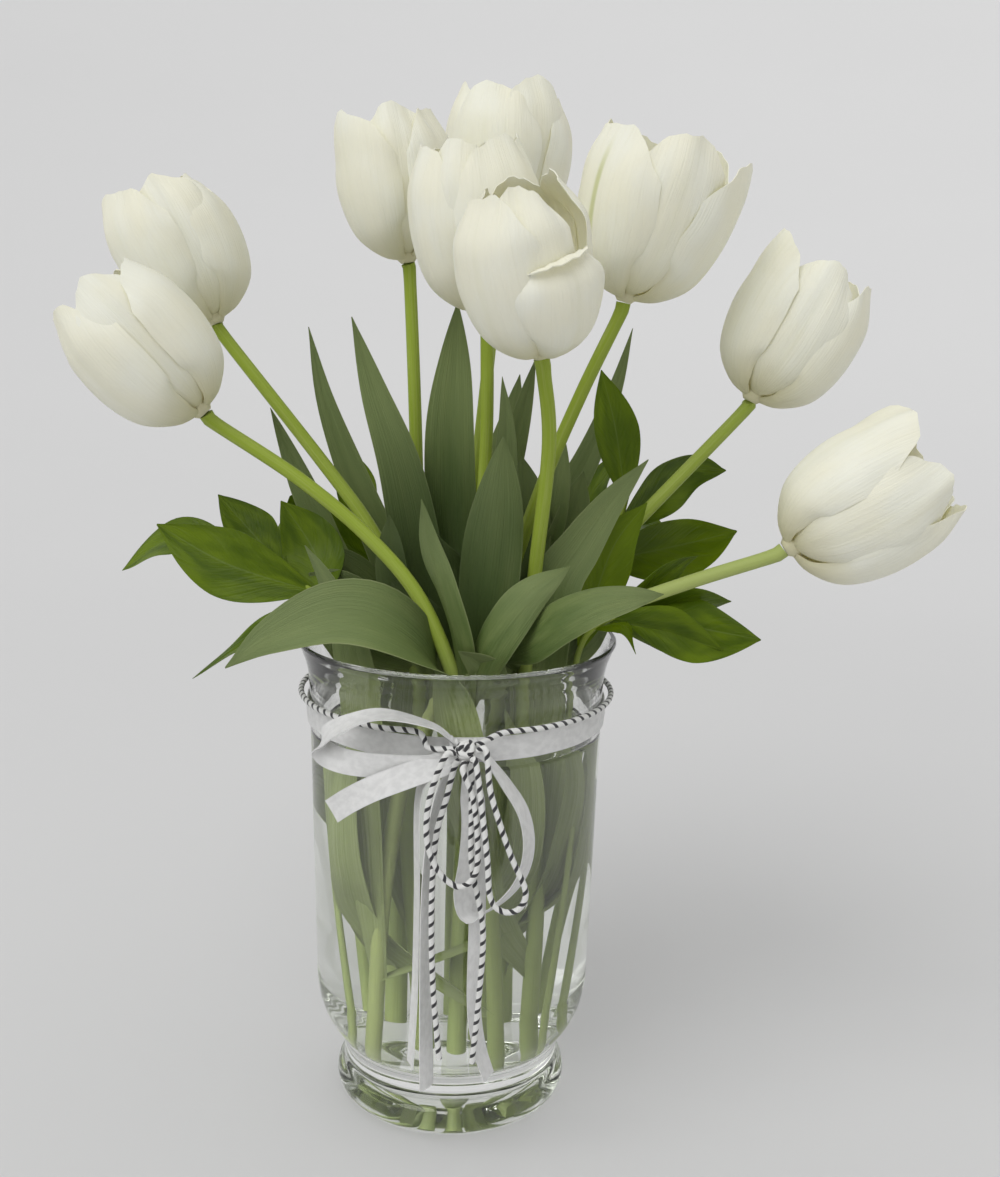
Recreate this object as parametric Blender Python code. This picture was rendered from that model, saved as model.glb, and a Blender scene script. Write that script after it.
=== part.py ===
"""Nine white tulips and five leafy sprigs in a clear glass vase, tied with ribbon and baker's twine.

Written in metres with +Z up. The origin is the centre of the vase's flat underside, and -Y is the front.
Routes and outlines below are in millimetres and are turned into metres where they are used.
"""

import random
from math import cos, pi, radians, sin, tau

import bmesh
import bpy
from mathutils import Vector

MM = 0.001
GAP = 0.3  # between pieces that touch

# --- vase and water -------------------------------------------------------------------------------
TURNS = 32  # flats round the vase
FOOT_RADIUS = 49.0
FOOT_HEIGHT = 14.0
WAIST_RADIUS = 45.5
WAIST_HEIGHT = 21.0
BODY_LOW_RADIUS = 57.6
BODY_TOP_RADIUS = 60.3
RIM_RADIUS = 65.2
VASE_HEIGHT = 200.0
WALL = 3.3
FLOOR_HEIGHT = 27.0
FLOOR_RADIUS = 38.0
WATER_LEVEL = 161.0
HOLE_GAP = 0.4  # water held clear of each stem
HOLE_REACH = 25.0  # how far past the water's surface a hole's cutter goes

# --- plants ---------------------------------------------------------------------------------------
STEM_RADIUS = 3.1
STEM_TAPER = 0.14  # share of its radius that a stem loses by its bloom
STEM_SIDES = 6
STEM_ROWS = 12
FINE = 4  # steps of a stem's centre line in each row
NECK = 5.0  # straight length of stem under a bloom
BLADE = 0.7  # thickness of leaves and petals
LEAF_ROWS = 7
TULIP_LEAF_SHAPE = (0.4, 0.5, 2.5)  # width share at the root, where it is widest, how blunt it ends
SPRIG_RADIUS = 1.6
SPRIG_SIDES = 5
SPRIG_STEPS = 60  # steps of a sprig's centre line
SPRIG_LEAF_ROWS = 4
SPRIG_LEAF_SHAPE = (0.12, 0.56, 2.1)
PETALS = 3  # in each of two layers
OUTER_SHARES = (0.0, 0.2, 0.42, 0.64, 0.85, 1.0)  # along each petal, closer near the rounded tip
INNER_SHARES = (0.0, 0.35, 0.74, 1.0)
OUTER_PETAL = ((2.0, 1.4), (11.0, 3.6), (20.6, 12.4), (25.0, 29.0), (24.0, 47.0), (18.5, 62.5))
INNER_PETAL = ((1.5, 3.6), (9.0, 8.0), (16.5, 17.5), (20.6, 32.0), (19.8, 49.0), (14.0, 64.0))
NOMINAL_LENGTH = 64.0
NOMINAL_RADIUS = 25.0
OUTER_WIDTH = 46.0
INNER_WIDTH = 38.0
RECEPTACLE_RADIUS = 2.9
RECEPTACLE_SIDES = 6
PETAL_SPREAD = 0.88  # most that half a petal wraps round the bloom, in radians

# Each tulip: stem route, bloom base, bloom axis, bloom length, bloom radius, opening at the tips, and the
# directions of its outer petals in degrees; the inner petals stand midway between them.
TULIPS = {
    1: (((17, -28, 27.6), (15, -35, 90), (9, -39, 150), (2, -37, 185), (-13, -29, 219), (-34, -20, 242),
         (-62, -15, 264)), (-99, -10, 288), (-0.68, -0.08, 0.72), 67, 26.5, 0.0,
        (-130, -8, 110)),
    2: (((-8, -6, 27.6), (-13, -2, 100), (-16, 3, 170), (-24, 8, 215), (-37, 15, 240), (-59, 25, 267)),
        (-105, 45, 321), (-0.46, 0.10, 0.88), 66, 27.0, 1.0,
        (-126, -10, 112)),
    3: (((-16, 18, 27.6), (-16, 19, 100), (-16, 22, 170), (-18, 28, 230), (-21, 40, 292)),
        (-25, 50, 348), (-0.16, 0.02, 0.98), 64, 25.5, 1.0,
        (-134, -18, 105)),
    4: (((0, 31, 27.6), (0, 32, 100), (0, 36, 170), (4, 52, 240), (9, 74, 300)),
        (14, 93, 362), (0.02, 0.12, 0.99), 68, 28.5, 3.5,
        (-108, 8, 130)),
    5: (((2, -8, 27.6), (3, -6, 100), (4, 2, 170), (8, 12, 230), (10, 15, 278)),
        (9, 10, 328), (-0.10, -0.04, 1.0), 69, 26.0, 1.5,
        (-160, -58, 70)),
    6: (((25, -7, 27.6), (28, -13, 100), (27, -18, 170), (30, -22, 225), (34, -36, 280)),
        (30, -50, 314), (-0.18, -0.22, 0.96), 63, 26.0, 1.5,
        (-146, -34, 90)),
    7: (((13, 20, 27.6), (14, 18, 100), (15, 17, 170), (20, 15, 215), (34, 12, 262), (48, 10, 298)),
        (63, 5, 334), (0.26, -0.05, 0.96), 68, 28.5, 8.0,
        (-142, -12, 103)),
    8: (((8, 4, 27.6), (12, 2, 100), (17, 3, 165), (38, 5, 202), (56, 8, 228), (77, 12, 251)),
        (118, 25, 295), (0.47, 0.05, 0.88), 66, 27.0, 2.0,
        (-165, -17, 90)),
    9: (((-26, -20, 27.6), (-23, -24, 100), (-14, -26, 160), (2, -27, 187), (30, -31, 206), (60, -31, 218.5),
         (92, -32, 231)), (124, -35, 244), (0.84, -0.05, 0.54), 68, 27.5, 1.5,
        (-164, -6, 95)),
}

SHORT_PETALS = {(6, 1): 0.74}  # bloom and petal: its share of the usual length
SHORT_LEAN = 4.0  # how much further out a short petal's tip stands

# Each tulip leaf: its tulip, the height where it leaves the stem, its route after that, its width, the
# direction across it at the root and at the tip, and how far each half curls, in radians.
TULIP_LEAVES = (
    (1, 100, ((6.5, -43, 135), (0.5, -44.2, 170), (-8, -44.2, 199), (-26, -49, 215.5), (-45, -51, 219),
              (-68, -53, 210), (-84.5, -54, 198)), 31, (-0.8, 0.4, 0.2), (0.1, 0.45, 0.85), 0.35),
    (1, 172, ((3, -47, 203), (-4, -47, 228), (-10, -43, 245), (-13, -40, 261)),
     13, (-0.7, 0.7, 0), (-0.8, 0.5, 0), 0.5),
    (1, 176, ((12, -50, 203), (19, -52, 216), (29, -50, 228), (43, -46, 238)),
     17, (-0.6, 0.2, 0.6), (-0.4, 0.4, 0.6), 0.5),
    (2, 80, ((-19, 2, 120), (-18, 5, 165), (-15, 6, 195), (-17, 9, 225), (-25, 12, 265), (-36, 14, 297),
             (-45, 15, 326)), 22, (1, 0.1, 0), (1, 0.2, 0), 0.3),
    (2, 182, ((-33, 15, 206), (-53, 27, 225), (-67, 38, 250), (-77, 46, 270), (-84, 50, 286)),
     14, (0.7, 0.7, 0), (0.8, 0.5, 0), 0.4),
    (2, 178, ((-20, -5, 205), (-26, -6, 228), (-28, -3, 249)), 17, (1, -0.3, 0), (1, -0.3, 0), 0.35),
    (3, 70, ((-22, 22, 110), (-23, 25, 160), (-22, 28, 198), (-32, 34, 225), (-47, 38, 258), (-59, 40, 290),
             (-66, 41, 321)), 16, (1, 0.2, 0), (1, 0.2, 0), 0.4),
    (3, 172, ((-19, 38, 200), (-23, 60, 224), (-28, 80, 232), (-31, 96, 222)),
     22, (0.8, 0.5, 0), (0.9, 0.4, 0), 0.3),
    (4, 180, ((8, 40, 215), (16, 41, 250), (23, 43, 280), (30, 46, 310)),
     13, (0.9, 0.3, 0), (0.9, 0.3, 0), 0.4),
    (4, 170, ((6, 52, 205), (12, 72, 240), (20, 90, 275), (24, 98, 300)),
     20, (1, -0.2, 0), (1, -0.2, 0), 0.35),
    (5, 178, ((2, 13, 207), (-3, 20, 237), (-5, 25, 280), (-4, 28, 310), (-3, 29, 333)),
     22, (1, 0, 0), (1, 0, 0), 0.35),
    (5, 185, ((13, 4, 215), (17, 2, 246), (18, 4, 280), (16, 8, 304)),
     11, (1, 0.3, 0), (1, 0.2, 0), 0.3),
    (5, 188, ((2, -7, 212), (-2, -14, 231), (-8, -18, 244)), 15, (-1, 0.2, 0), (-0.6, 0.3, 0.6), 0.7),
    (6, 95, ((31, -16, 140), (33, -17, 180), (38, -19, 222), (48, -15, 240), (60, -9, 257), (75, 0, 273)),
     22, (0.9, -0.3, 0), (0.7, 0.1, -0.7), 0.3),
    (7, 90, ((20, 23, 130), (22, 27, 175), (25, 31, 215), (38, 38, 240), (54, 47, 268), (65, 55, 296),
             (72, 60, 323)), 15, (0.8, -0.5, -0.2), (0.8, -0.4, -0.2), 0.35),
    (7, 190, ((30, 24, 222), (38, 27, 250), (42, 32, 281)), 16, (1, 0.1, 0), (1, 0.1, 0), 0.3),
    (8, 120, ((22, 5, 150), (31, 9, 185), (44, 18, 216), (58, 40, 234), (72, 62, 232), (82, 76, 220)),
     20, (0.6, -0.7, 0), (0.7, -0.6, 0), 0.3),
    (9, 183, ((10, -33, 205), (12, -32, 222), (15, -27, 251), (17, -21, 283)),
     24, (-1, 0, 0), (-1, 0.1, 0), 0.35),
    (9, 60, ((-30, -25, 100), (-34, -27, 140), (-38, -26, 180), (-44, -23, 207), (-52, -20, 226),
             (-60, -16, 238)), 20, (-0.7, 0.7, 0), (-0.8, 0.3, 0.5), 0.35),
    (9, 199, ((28, -48, 208), (38, -57, 219), (51, -60, 227), (64, -58, 229.5), (77, -55, 230)),
     18, (-0.3, 0.6, 0.7), (-0.1, 0.6, 0.7), 0.4),
)

# Each sprig: stem route, then its leaves: the share of the stem's length where the leaf leaves it, a middle
# point, the tip, the width, and the direction across it.
SPRIGS = {
    "left": (((-31, -9, 27.6), (-40, -11, 100), (-45, -10, 165), (-49, -6, 200), (-60, 2, 216),
              (-78, 12, 226), (-96, 20, 230)),
             ((0.74, (-69, -24, 208), (-102, -31, 187), 13, (0.3, 0.8, 0.5)),
              (0.79, (-60, 14, 229), (-75, 20, 250), 26, (0.8, 0.2, 0.5)),
              (0.82, (-95, 4, 226), (-124, 8, 241), 29, (0.3, 0.3, 0.9)),
              (0.88, (-86, 25, 233), (-104, 34, 250), 22, (0.6, 0.3, 0.6)),
              (0.98, (-122, 28, 231.5), (-145.5, 32, 216.5), 22, (0.1, 0.75, 0.6)))),
    "right": (((33, 4, 27.6), (41, 6, 100), (45, 8, 165), (49, 14, 200), (58, 22, 222), (66, 27, 240),
               (70, 29, 256)),
              ((0.86, (95, 20, 236), (114, 12, 243), 33, (0.2, 0.4, -0.9)),
               (0.93, (93, 34, 263), (112, 36, 265), 27, (0.2, 0.4, -0.8)),
               (0.98, (64, 32, 282), (57.5, 38, 306), 20, (1, 0.2, 0)))),
    "right_front": (((31, -16, 27.6), (40, -17, 100), (45, -15, 165), (50, -12, 199), (61, -11, 210),
                     (70, -10, 211.5)),
                    ((0.86, (61, -5, 236), (75, -2, 256), 22, (0.8, 0.2, -0.5)),
                     (0.92, (66.5, -19, 208.5), (71, -24, 199), 8, (0.3, 0.8, 0.3)),
                     (0.95, (88, -2, 230), (97, 0, 234.5), 14, (0.3, 0.5, -0.8)),
                     (0.98, (92, -13, 208), (122, -12, 203), 29, (0.1, 0.6, 0.75)))),
    "back_left": (((-22, 27, 27.6), (-26, 36, 100), (-28, 42, 165), (-31, 47, 200), (-42, 62, 220),
                   (-56, 76, 232)),
                  ((0.86, (-63, 52, 234), (-78, 60, 234), 18, (0.3, 0.3, 0.9)),
                   (0.93, (-50, 74, 250), (-60, 84, 268), 19, (0.9, 0.3, 0.2)),
                   (0.98, (-76, 94, 234), (-92, 108, 222), 22, (0.7, -0.7, 0.3)))),
    "back_right": (((22, 26, 27.6), (28, 35, 100), (31, 41, 165), (34, 46, 200), (45, 63, 218),
                    (58, 78, 228)),
                   ((0.86, (30, 78, 228), (28, 104, 226), 22, (0.9, 0.1, 0.3)),
                    (0.93, (56, 72, 246), (68, 82, 266), 19, (0.8, -0.5, 0.2)),
                    (0.98, (80, 92, 232), (98, 102, 222), 22, (0.6, -0.7, 0.3)))),
}

# --- ties -----------------------------------------------------------------------------------------
RIBBON_WIDTH = 9.5
RIBBON_THICK = 0.6
RIBBON_HEIGHT = 170.5  # middle of the band
PINCH = 0.55  # share of its width where a strip leaves the knot
BAND_TURNS = 40
KNOT = Vector((5.0, -64.2, 171.5))
KNOT_SIZE = Vector((5.0, 3.8, 4.6))  # from its middle to each side
STRIP_ROWS = 1.2  # rows of a strip for each point of its route
RIBBON_STRIPS = (  # route, direction across at each end
    (((3, -64.5, 173), (-7, -66, 181), (-25, -68, 185.5), (-38, -66.5, 181.5), (-47.5, -61, 174),
      (-46, -60.5, 167.5), (-34, -65, 165.5), (-12, -68.3, 166), (3, -65.4, 167.5)),
     (0.15, 0.85, -0.25), (0, -0.35, 1)),
    (((3, -65, 169), (-5, -69.8, 167), (-14, -71, 164), (-28, -69, 157.5), (-37, -65.5, 151.5),
      (-44, -61.5, 145.5)), (-0.3, 0.5, 0.8), (-0.5, 0.25, 0.8)),
    (((7, -65, 172), (14, -66.5, 169), (21, -67, 160), (28, -66.5, 148), (30.2, -66, 134), (27, -66, 121),
      (18, -66, 110.5), (9, -66.3, 107.5), (6, -66.5, 116), (8, -66.5, 130), (9, -66, 146), (7, -65.5, 166)),
     (0.1, 1, 0.1), (1, 0.25, 0)),
    (((4, -65, 169), (-2, -68.5, 160), (-6, -68, 140), (-7.7, -66, 112), (-7.7, -64.8, 71),
      (-7.1, -64.6, 33.7)), (0.42, 0.9, 0), (0.64, 0.77, 0)),
    (((3, -65, 169), (-6, -66.5, 163), (-11.5, -65, 152), (-11.5, -63.6, 112), (-12, -63.2, 75),
      (-13.5, -63.4, 42.6)), (0.3, 0.95, 0), (0.35, 0.93, 0)),
    (((6, -64.6, 168), (8.5, -63.2, 150), (10.5, -62.9, 125), (11.3, -63.2, 106), (10.7, -63.6, 71),
      (13, -63.8, 52), (17.1, -64, 38.5)), (1, 0.25, 0), (0.5, 0.85, 0)),
)
TWINE_RADIUS = 1.15
TWINE_HEIGHT = 177.4
TWINE_KNOT = Vector((6.0, -72.2, 174.4))
TWINE_KNOT_RADIUS = 4.2
TWINE_ENDS = {  # the way each strand leaves the knot
    "band_right": (0.80, 0.60, 0.20),
    "band_left": (-0.85, 0.50, -0.15),
    "loop_left_out": (-0.85, -0.50, -0.10),
    "loop_left_back": (-0.10, -0.60, -0.80),
    "loop_right_out": (0.90, -0.42, 0.10),
    "loop_right_back": (0.50, -0.60, -0.62),
    "tail_left": (-0.50, 0.10, -0.86),
    "tail_right": (0.25, 0.10, -0.96),
}
TWINE_ROUTES = {  # the strand's ends at the knot, its route between, and its number of straight steps
    "twine_loop_left": ("loop_left_out", ((-5, -77.5, 164), (-7.5, -78, 152), (-7, -78, 139),
                                          (-2, -77.8, 128), (5, -77.5, 123.5), (10.5, -77.5, 129),
                                          (11, -77.5, 142), (9, -77.5, 158)), "loop_left_back", 15),
    "twine_loop_right": ("loop_right_out", ((15, -78, 162), (18.5, -79, 150), (23.5, -79.5, 136),
                                            (28.8, -80, 123.5), (26.5, -80.2, 116.5), (20.5, -80.3, 115.5),
                                            (16, -80.4, 121), (14.4, -80.5, 138)), "loop_right_back", 16),
    "twine_tail_left": ("tail_left", ((-1, -72.6, 155), (-4.5, -72.6, 140), (-5.8, -71, 113), (-5, -69.5, 80),
                                      (-2.3, -69, 49)), None, 8),
    "twine_tail_right": ("tail_right", ((8.5, -74, 150), (9, -74, 130), (13.5, -73, 105), (12.5, -71.5, 76),
                                        (10.4, -69.8, 48)), None, 8),
}
BAND_STEPS = 27

# --- colours (red, green, blue), roughness, metallic ----------------------------------------------------
GLASS = ((0.80, 0.84, 0.83), 0.05, 0.0)
WATER = ((0.72, 0.78, 0.74), 0.03, 0.0)
PETAL = ((0.80, 0.80, 0.70), 0.55, 0.0)
TULIP_GREEN = ((0.16, 0.24, 0.09), 0.50, 0.0)
SPRIG_GREEN = ((0.07, 0.14, 0.03), 0.35, 0.0)
SATIN = ((0.82, 0.82, 0.80), 0.35, 0.0)
COTTON = ((0.55, 0.55, 0.54), 0.85, 0.0)


def clear_scene():
    for thing in list(bpy.data.objects):
        bpy.data.objects.remove(thing, do_unlink=True)


def material(name, finish):
    colour, roughness, metallic = finish
    made = bpy.data.materials.get(name) or bpy.data.materials.new(name)
    made.use_nodes = True
    shader = made.node_tree.nodes["Principled BSDF"]
    shader.inputs["Base Color"].default_value = (*colour, 1.0)
    shader.inputs["Roughness"].default_value = roughness
    shader.inputs["Metallic"].default_value = metallic
    return made


def add_object(name, mesh, finish_name, finish):
    thing = bpy.data.objects.new(name, mesh)
    bpy.context.scene.collection.objects.link(thing)
    mesh.materials.append(material(finish_name, finish))
    return thing


def mesh_from(name, bm):
    bmesh.ops.recalc_face_normals(bm, faces=bm.faces)
    mesh = bpy.data.meshes.new(name)
    bm.to_mesh(mesh)
    bm.free()
    mesh.shade_smooth()
    mesh.set_sharp_from_angle(angle=0.8)
    return mesh


# --- curves ---------------------------------------------------------------------------------------
def dense_curve(points, steps=12):
    """Points of a smooth curve (Catmull-Rom) through the given ones."""
    knots = [Vector(p) for p in points]
    knots = [knots[0] * 2 - knots[1], *knots, knots[-1] * 2 - knots[-2]]
    curve = []
    for a, b, c, d in zip(knots, knots[1:], knots[2:], knots[3:]):
        for step in range(steps):
            t = step / steps
            curve.append(0.5 * (2 * b + (c - a) * t + (2 * a - 5 * b + 4 * c - d) * t * t
                                + (3 * b - a - 3 * c + d) * t ** 3))
    return curve + [knots[-2]]


def even_points(curve, count):
    """The curve again as count equal steps."""
    lengths = [0.0]
    for a, b in zip(curve, curve[1:]):
        lengths.append(lengths[-1] + (b - a).length)
    points, k = [], 0
    for i in range(count + 1):
        target = lengths[-1] * i / count
        while k < len(curve) - 2 and lengths[k + 1] < target:
            k += 1
        share = (target - lengths[k]) / (lengths[k + 1] - lengths[k])
        points.append(curve[k].lerp(curve[k + 1], share))
    return points


def tangents(points):
    last = len(points) - 1
    return [(points[min(i + 1, last)] - points[max(i - 1, 0)]).normalized() for i in range(last + 1)]


# --- solids from rings and sheets ------------------------------------------------------------------
def tube(bm, points, along, radii, sides):
    """A closed tube round the points, one ring of corners square to the way along at each."""
    across = along[0].orthogonal().normalized()
    rings = []
    for point, way, radius in zip(points, along, radii):
        across = (across - way * across.dot(way)).normalized()
        other = way.cross(across)
        rings.append([bm.verts.new((point + radius * (cos(tau * k / sides) * across
                                                      + sin(tau * k / sides) * other)) * MM)
                      for k in range(sides)])
    for low, high in zip(rings, rings[1:]):
        for k in range(sides):
            bm.faces.new((low[k], low[k - 1], high[k - 1], high[k]))
    bm.faces.new(rings[0])
    bm.faces.new(reversed(rings[-1]))


def sheet(bm, rows):
    """A closed thin body between two like grids: each row is a list of (upper, lower) points."""
    grid = [[(bm.verts.new(upper * MM), bm.verts.new(lower * MM)) for upper, lower in row] for row in rows]
    for first, second in zip(grid, grid[1:]):
        for a, b, c, d in zip(first, first[1:], second[1:], second):
            for face in ((a[0], b[0], c[0]), (a[0], c[0], d[0]), (a[1], c[1], b[1]), (a[1], d[1], c[1])):
                bm.faces.new(face)
        for (au, al), (bu, bl) in ((first[0], second[0]), (second[-1], first[-1])):
            bm.faces.new((au, bu, bl))
            bm.faces.new((au, bl, al))
    for row, turned in ((grid[0], True), (grid[-1], False)):
        for (au, al), (bu, bl) in zip(row, row[1:]):
            corners = (au, al, bl, bu) if turned else (au, bu, bl, al)
            bm.faces.new((corners[0], corners[1], corners[2]))
            bm.faces.new((corners[0], corners[2], corners[3]))


def blade(bm, points, sides, widths, curls, thick, columns):
    """A thin blade along the points: sides are its directions across, curls the bend of each half."""
    rows = []
    for point, way, side, width, curl in zip(points, tangents(points), sides, widths, curls):
        side = (side - way * side.dot(way)).normalized()
        face = side.cross(way)
        bend = max(curl, 0.01)
        reach = width / 2 / bend
        row = []
        for k in range(columns + 1):
            angle = bend * (2 * k / columns - 1)
            middle = point + side * reach * sin(angle) + face * reach * (1 - cos(angle))
            out = (face * cos(angle) - side * sin(angle)) * thick / 2
            row.append((middle + out, middle - out))
        rows.append(row)
    sheet(bm, rows)


def leaf_shape(share, root, widest, point_power):
    """Width share of a long leaf: root at its foot, 1 at widest, a point at its end."""
    if share < widest:
        return root + (1 - root) * sin(pi / 2 * share / widest)
    return max(1 - ((share - widest) / (1 - widest)) ** point_power, 0.05)


def leaf(bm, route, width, side_root, side_tip, curl, rows, shape, grow=0.0):
    """One leaf; grow makes the same leaf larger all round, as a cutter."""
    points = even_points(dense_curve(route), rows)
    points[0] -= (points[1] - points[0]).normalized() * grow * 2
    shares = [i / rows for i in range(rows + 1)]
    sides = [Vector(side_root).lerp(Vector(side_tip), s) for s in shares]
    widths = [width * leaf_shape(s, *shape) + 2 * grow for s in shares]
    curls = [curl * (1.6 - 0.9 * s) for s in shares]
    blade(bm, points, sides, widths, curls, BLADE + 2 * grow, 2)


def join(name, parts, finish_name, finish, solver="EXACT"):
    """One body: the first object with the others added by a single union."""
    group = bpy.data.collections.new(name + "_parts")
    bpy.context.scene.collection.children.link(group)
    for part in parts[1:]:
        bpy.context.scene.collection.objects.unlink(part)
        group.objects.link(part)
    body = parts[0]
    union = body.modifiers.new("join", "BOOLEAN")
    union.operation = "UNION"
    union.operand_type = "COLLECTION"
    union.collection = group
    union.solver = solver
    return apply_modifiers(name, body, group, finish_name, finish)


def apply_modifiers(name, body, group, finish_name, finish):
    graph = bpy.context.evaluated_depsgraph_get()
    mesh = bpy.data.meshes.new_from_object(body.evaluated_get(graph))
    for part in [body, *group.objects]:
        bpy.data.objects.remove(part, do_unlink=True)
    bpy.data.collections.remove(group)
    mesh.materials.clear()
    mesh.shade_smooth()
    mesh.set_sharp_from_angle(angle=0.8)
    return add_object(name, mesh, finish_name, finish)


def piece(name, build, finish_name, finish):
    bm = bmesh.new()
    build(bm)
    return add_object(name, mesh_from(name, bm), finish_name, finish)


# --- vase and water -------------------------------------------------------------------------------
def turned(name, outline, finish_name, finish):
    """A body turned about Z from an outline of (radius, height) that starts and ends on the axis."""
    def build(bm):
        rings = []
        for radius, height in outline[1:-1]:
            rings.append([bm.verts.new(Vector((radius * cos(tau * k / TURNS), radius * sin(tau * k / TURNS),
                                               height)) * MM) for k in range(TURNS)])
        for low, high in zip(rings, rings[1:]):
            for k in range(TURNS):
                bm.faces.new((low[k - 1], low[k], high[k], high[k - 1]))
        bm.faces.new(rings[0])
        bm.faces.new(rings[-1])
    return piece(name, build, finish_name, finish)


def inner_wall():
    """The inside of the glass, from the floor to just under the rim."""
    low = BODY_LOW_RADIUS - WALL
    top = BODY_TOP_RADIUS - WALL
    return [(FLOOR_RADIUS, FLOOR_HEIGHT), (FLOOR_RADIUS + 8, FLOOR_HEIGHT + 4.5), (low - 3, 42.0),
            (low, 52.0), (top, VASE_HEIGHT - 20)]


def outer_wall():
    """The outside of the glass, from the underside to the rim."""
    round_radius = FOOT_HEIGHT / 2
    outline = [(FOOT_RADIUS - round_radius + round_radius * sin(pi * k / 4),
                round_radius - round_radius * cos(pi * k / 4)) for k in range(5)]
    outline += [(WAIST_RADIUS + 0.4, FOOT_HEIGHT + 2.0), (WAIST_RADIUS, WAIST_HEIGHT),
                (WAIST_RADIUS + 2, WAIST_HEIGHT + 6), (BODY_LOW_RADIUS - 4.5, 34.0),
                (BODY_LOW_RADIUS - 1.2, 42.0), (BODY_LOW_RADIUS, 52.0), (BODY_TOP_RADIUS, VASE_HEIGHT - 20),
                (BODY_TOP_RADIUS + 1.3, VASE_HEIGHT - 10), (RIM_RADIUS, VASE_HEIGHT - 1.2)]
    return outline


def make_vase():
    rim = [(RIM_RADIUS - 0.8, VASE_HEIGHT), (RIM_RADIUS - 2.2, VASE_HEIGHT - 0.4),
           (BODY_TOP_RADIUS - WALL + 1.6, VASE_HEIGHT - 9)]
    outline = [(0, 0), *outer_wall(), *rim, *reversed(inner_wall()), (0, FLOOR_HEIGHT)]
    return turned("vase", outline, "clear_glass", GLASS)


def water_wall():
    """The water's side: the inner wall, held clear of the glass, up to the water level."""
    walls = inner_wall()
    outline = [(radius - GAP, height + GAP) for radius, height in walls[:-1]]
    (low_radius, low), (top_radius, top) = walls[-2:]
    share = (WATER_LEVEL - low) / (top - low)
    return outline + [(low_radius + (top_radius - low_radius) * share - GAP, WATER_LEVEL)]


def hole(bm, points, radius, sides):
    """A plain hole round a stem, past the stem's cut end."""
    foot = points[0] + (points[0] - points[1]).normalized() * (GAP * 4)
    wide = (radius + HOLE_GAP) / cos(pi / sides)
    tube(bm, [foot, *points[1:]], tangents(points), [wide] * len(points), sides)


def make_water(stems, wet_leaves):
    body = turned("water", [(0, 0), *water_wall(), (0, 0)], "water", WATER)
    group = bpy.data.collections.new("holes")
    bpy.context.scene.collection.children.link(group)
    for index, (points, radius, sides) in enumerate(stems):
        wet = [p for p in points if p.z < WATER_LEVEL + HOLE_REACH]
        cutter = piece(f"hole_{index}", lambda bm: hole(bm, wet, radius, sides), "water", WATER)
        bpy.context.scene.collection.objects.unlink(cutter)
        group.objects.link(cutter)
    for index, shape in enumerate(wet_leaves):
        cutter = piece(f"leaf_hole_{index}", lambda bm: leaf(bm, *shape, grow=HOLE_GAP), "water", WATER)
        bpy.context.scene.collection.objects.unlink(cutter)
        group.objects.link(cutter)
    cut = body.modifiers.new("holes", "BOOLEAN")
    cut.operation = "DIFFERENCE"
    cut.operand_type = "COLLECTION"
    cut.collection = group
    cut.solver = "EXACT"
    return apply_modifiers("water", body, group, "water", WATER)


# --- tulips ---------------------------------------------------------------------------------------
def stem_points(number):
    """The stem's centre line up to its bloom, with a straight neck along the bloom's axis."""
    route, base, axis, *_ = TULIPS[number]
    base = Vector(base)
    neck = base - Vector(axis).normalized() * NECK
    return even_points(dense_curve([*route, neck, base]), STEM_ROWS * FINE)


def stem_foot(points, height):
    """The point of a stem at a height."""
    return next(point for point in points if point.z >= height)


def tulip_leaf(curve, height, route, width, side_root, side_tip, curl):
    """What leaf() needs for a leaf of the stem with this centre line."""
    return ([stem_foot(curve, height), *route], width, side_root, side_tip, curl, LEAF_ROWS, TULIP_LEAF_SHAPE)


def make_stem(number):
    """The stem with its leaves, and what the water has to leave room for."""
    curve = stem_points(number)
    last = len(curve) - 1
    steps = [i for i in range(0, last, FINE) if i % (2 * FINE) == 0 or curve[i].z > WATER_LEVEL] + [last]
    points = [curve[i] for i in steps]
    ways = tangents(curve)
    along = [*(ways[i] for i in steps[:-1]), Vector(TULIPS[number][2]).normalized()]
    radii = [STEM_RADIUS * (1.0 - STEM_TAPER * i / last) for i in steps]
    parts = [piece("stem", lambda bm: tube(bm, points, along, radii, STEM_SIDES), "tulip_green", TULIP_GREEN)]
    wet_leaves = []
    for owner, height, *rest in TULIP_LEAVES:
        if owner == number:
            shape = tulip_leaf(curve, height, *rest)
            parts.append(piece("leaf", lambda bm: leaf(bm, *shape), "tulip_green", TULIP_GREEN))
            if height < WATER_LEVEL:
                wet_leaves.append(shape)
    join(f"tulip_{number}_stem", parts, "tulip_green", TULIP_GREEN)
    return points, wet_leaves


def petal_shape(share):
    """Width share of a petal: narrow foot, full shoulders, round tip."""
    if share < 0.5:
        return 0.22 + 0.78 * sin(pi * share)
    return max((1 - (2 * share - 1) ** 4) ** 0.5, 0.3)


def petal(bm, outline, turn, width, length, radius, opening, lean, shares, columns):
    """One petal about +Z: outline is its middle line as (radius, height)."""
    out = Vector((cos(turn), sin(turn), 0))
    side = Vector((sin(turn), -cos(turn), 0))
    tall = length / NOMINAL_LENGTH
    wide = radius / NOMINAL_RADIUS
    line = [out * (r * wide + (opening + lean) * (z / NOMINAL_LENGTH) ** 2) + Vector((0, 0, z * tall))
            for r, z in outline]
    fine = even_points(dense_curve(line), 100)
    points = [fine[round(100 * share)] for share in shares]
    widths = [min(width * wide * petal_shape(share), 2 * PETAL_SPREAD * p.xy.length)
              for share, p in zip(shares, points)]
    curls = [min(w / 2 / max(p.xy.length * 1.06, 3.0), 1.0) for w, p in zip(widths, points)]
    blade(bm, points, [side] * len(points), widths, curls, BLADE, columns)


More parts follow.
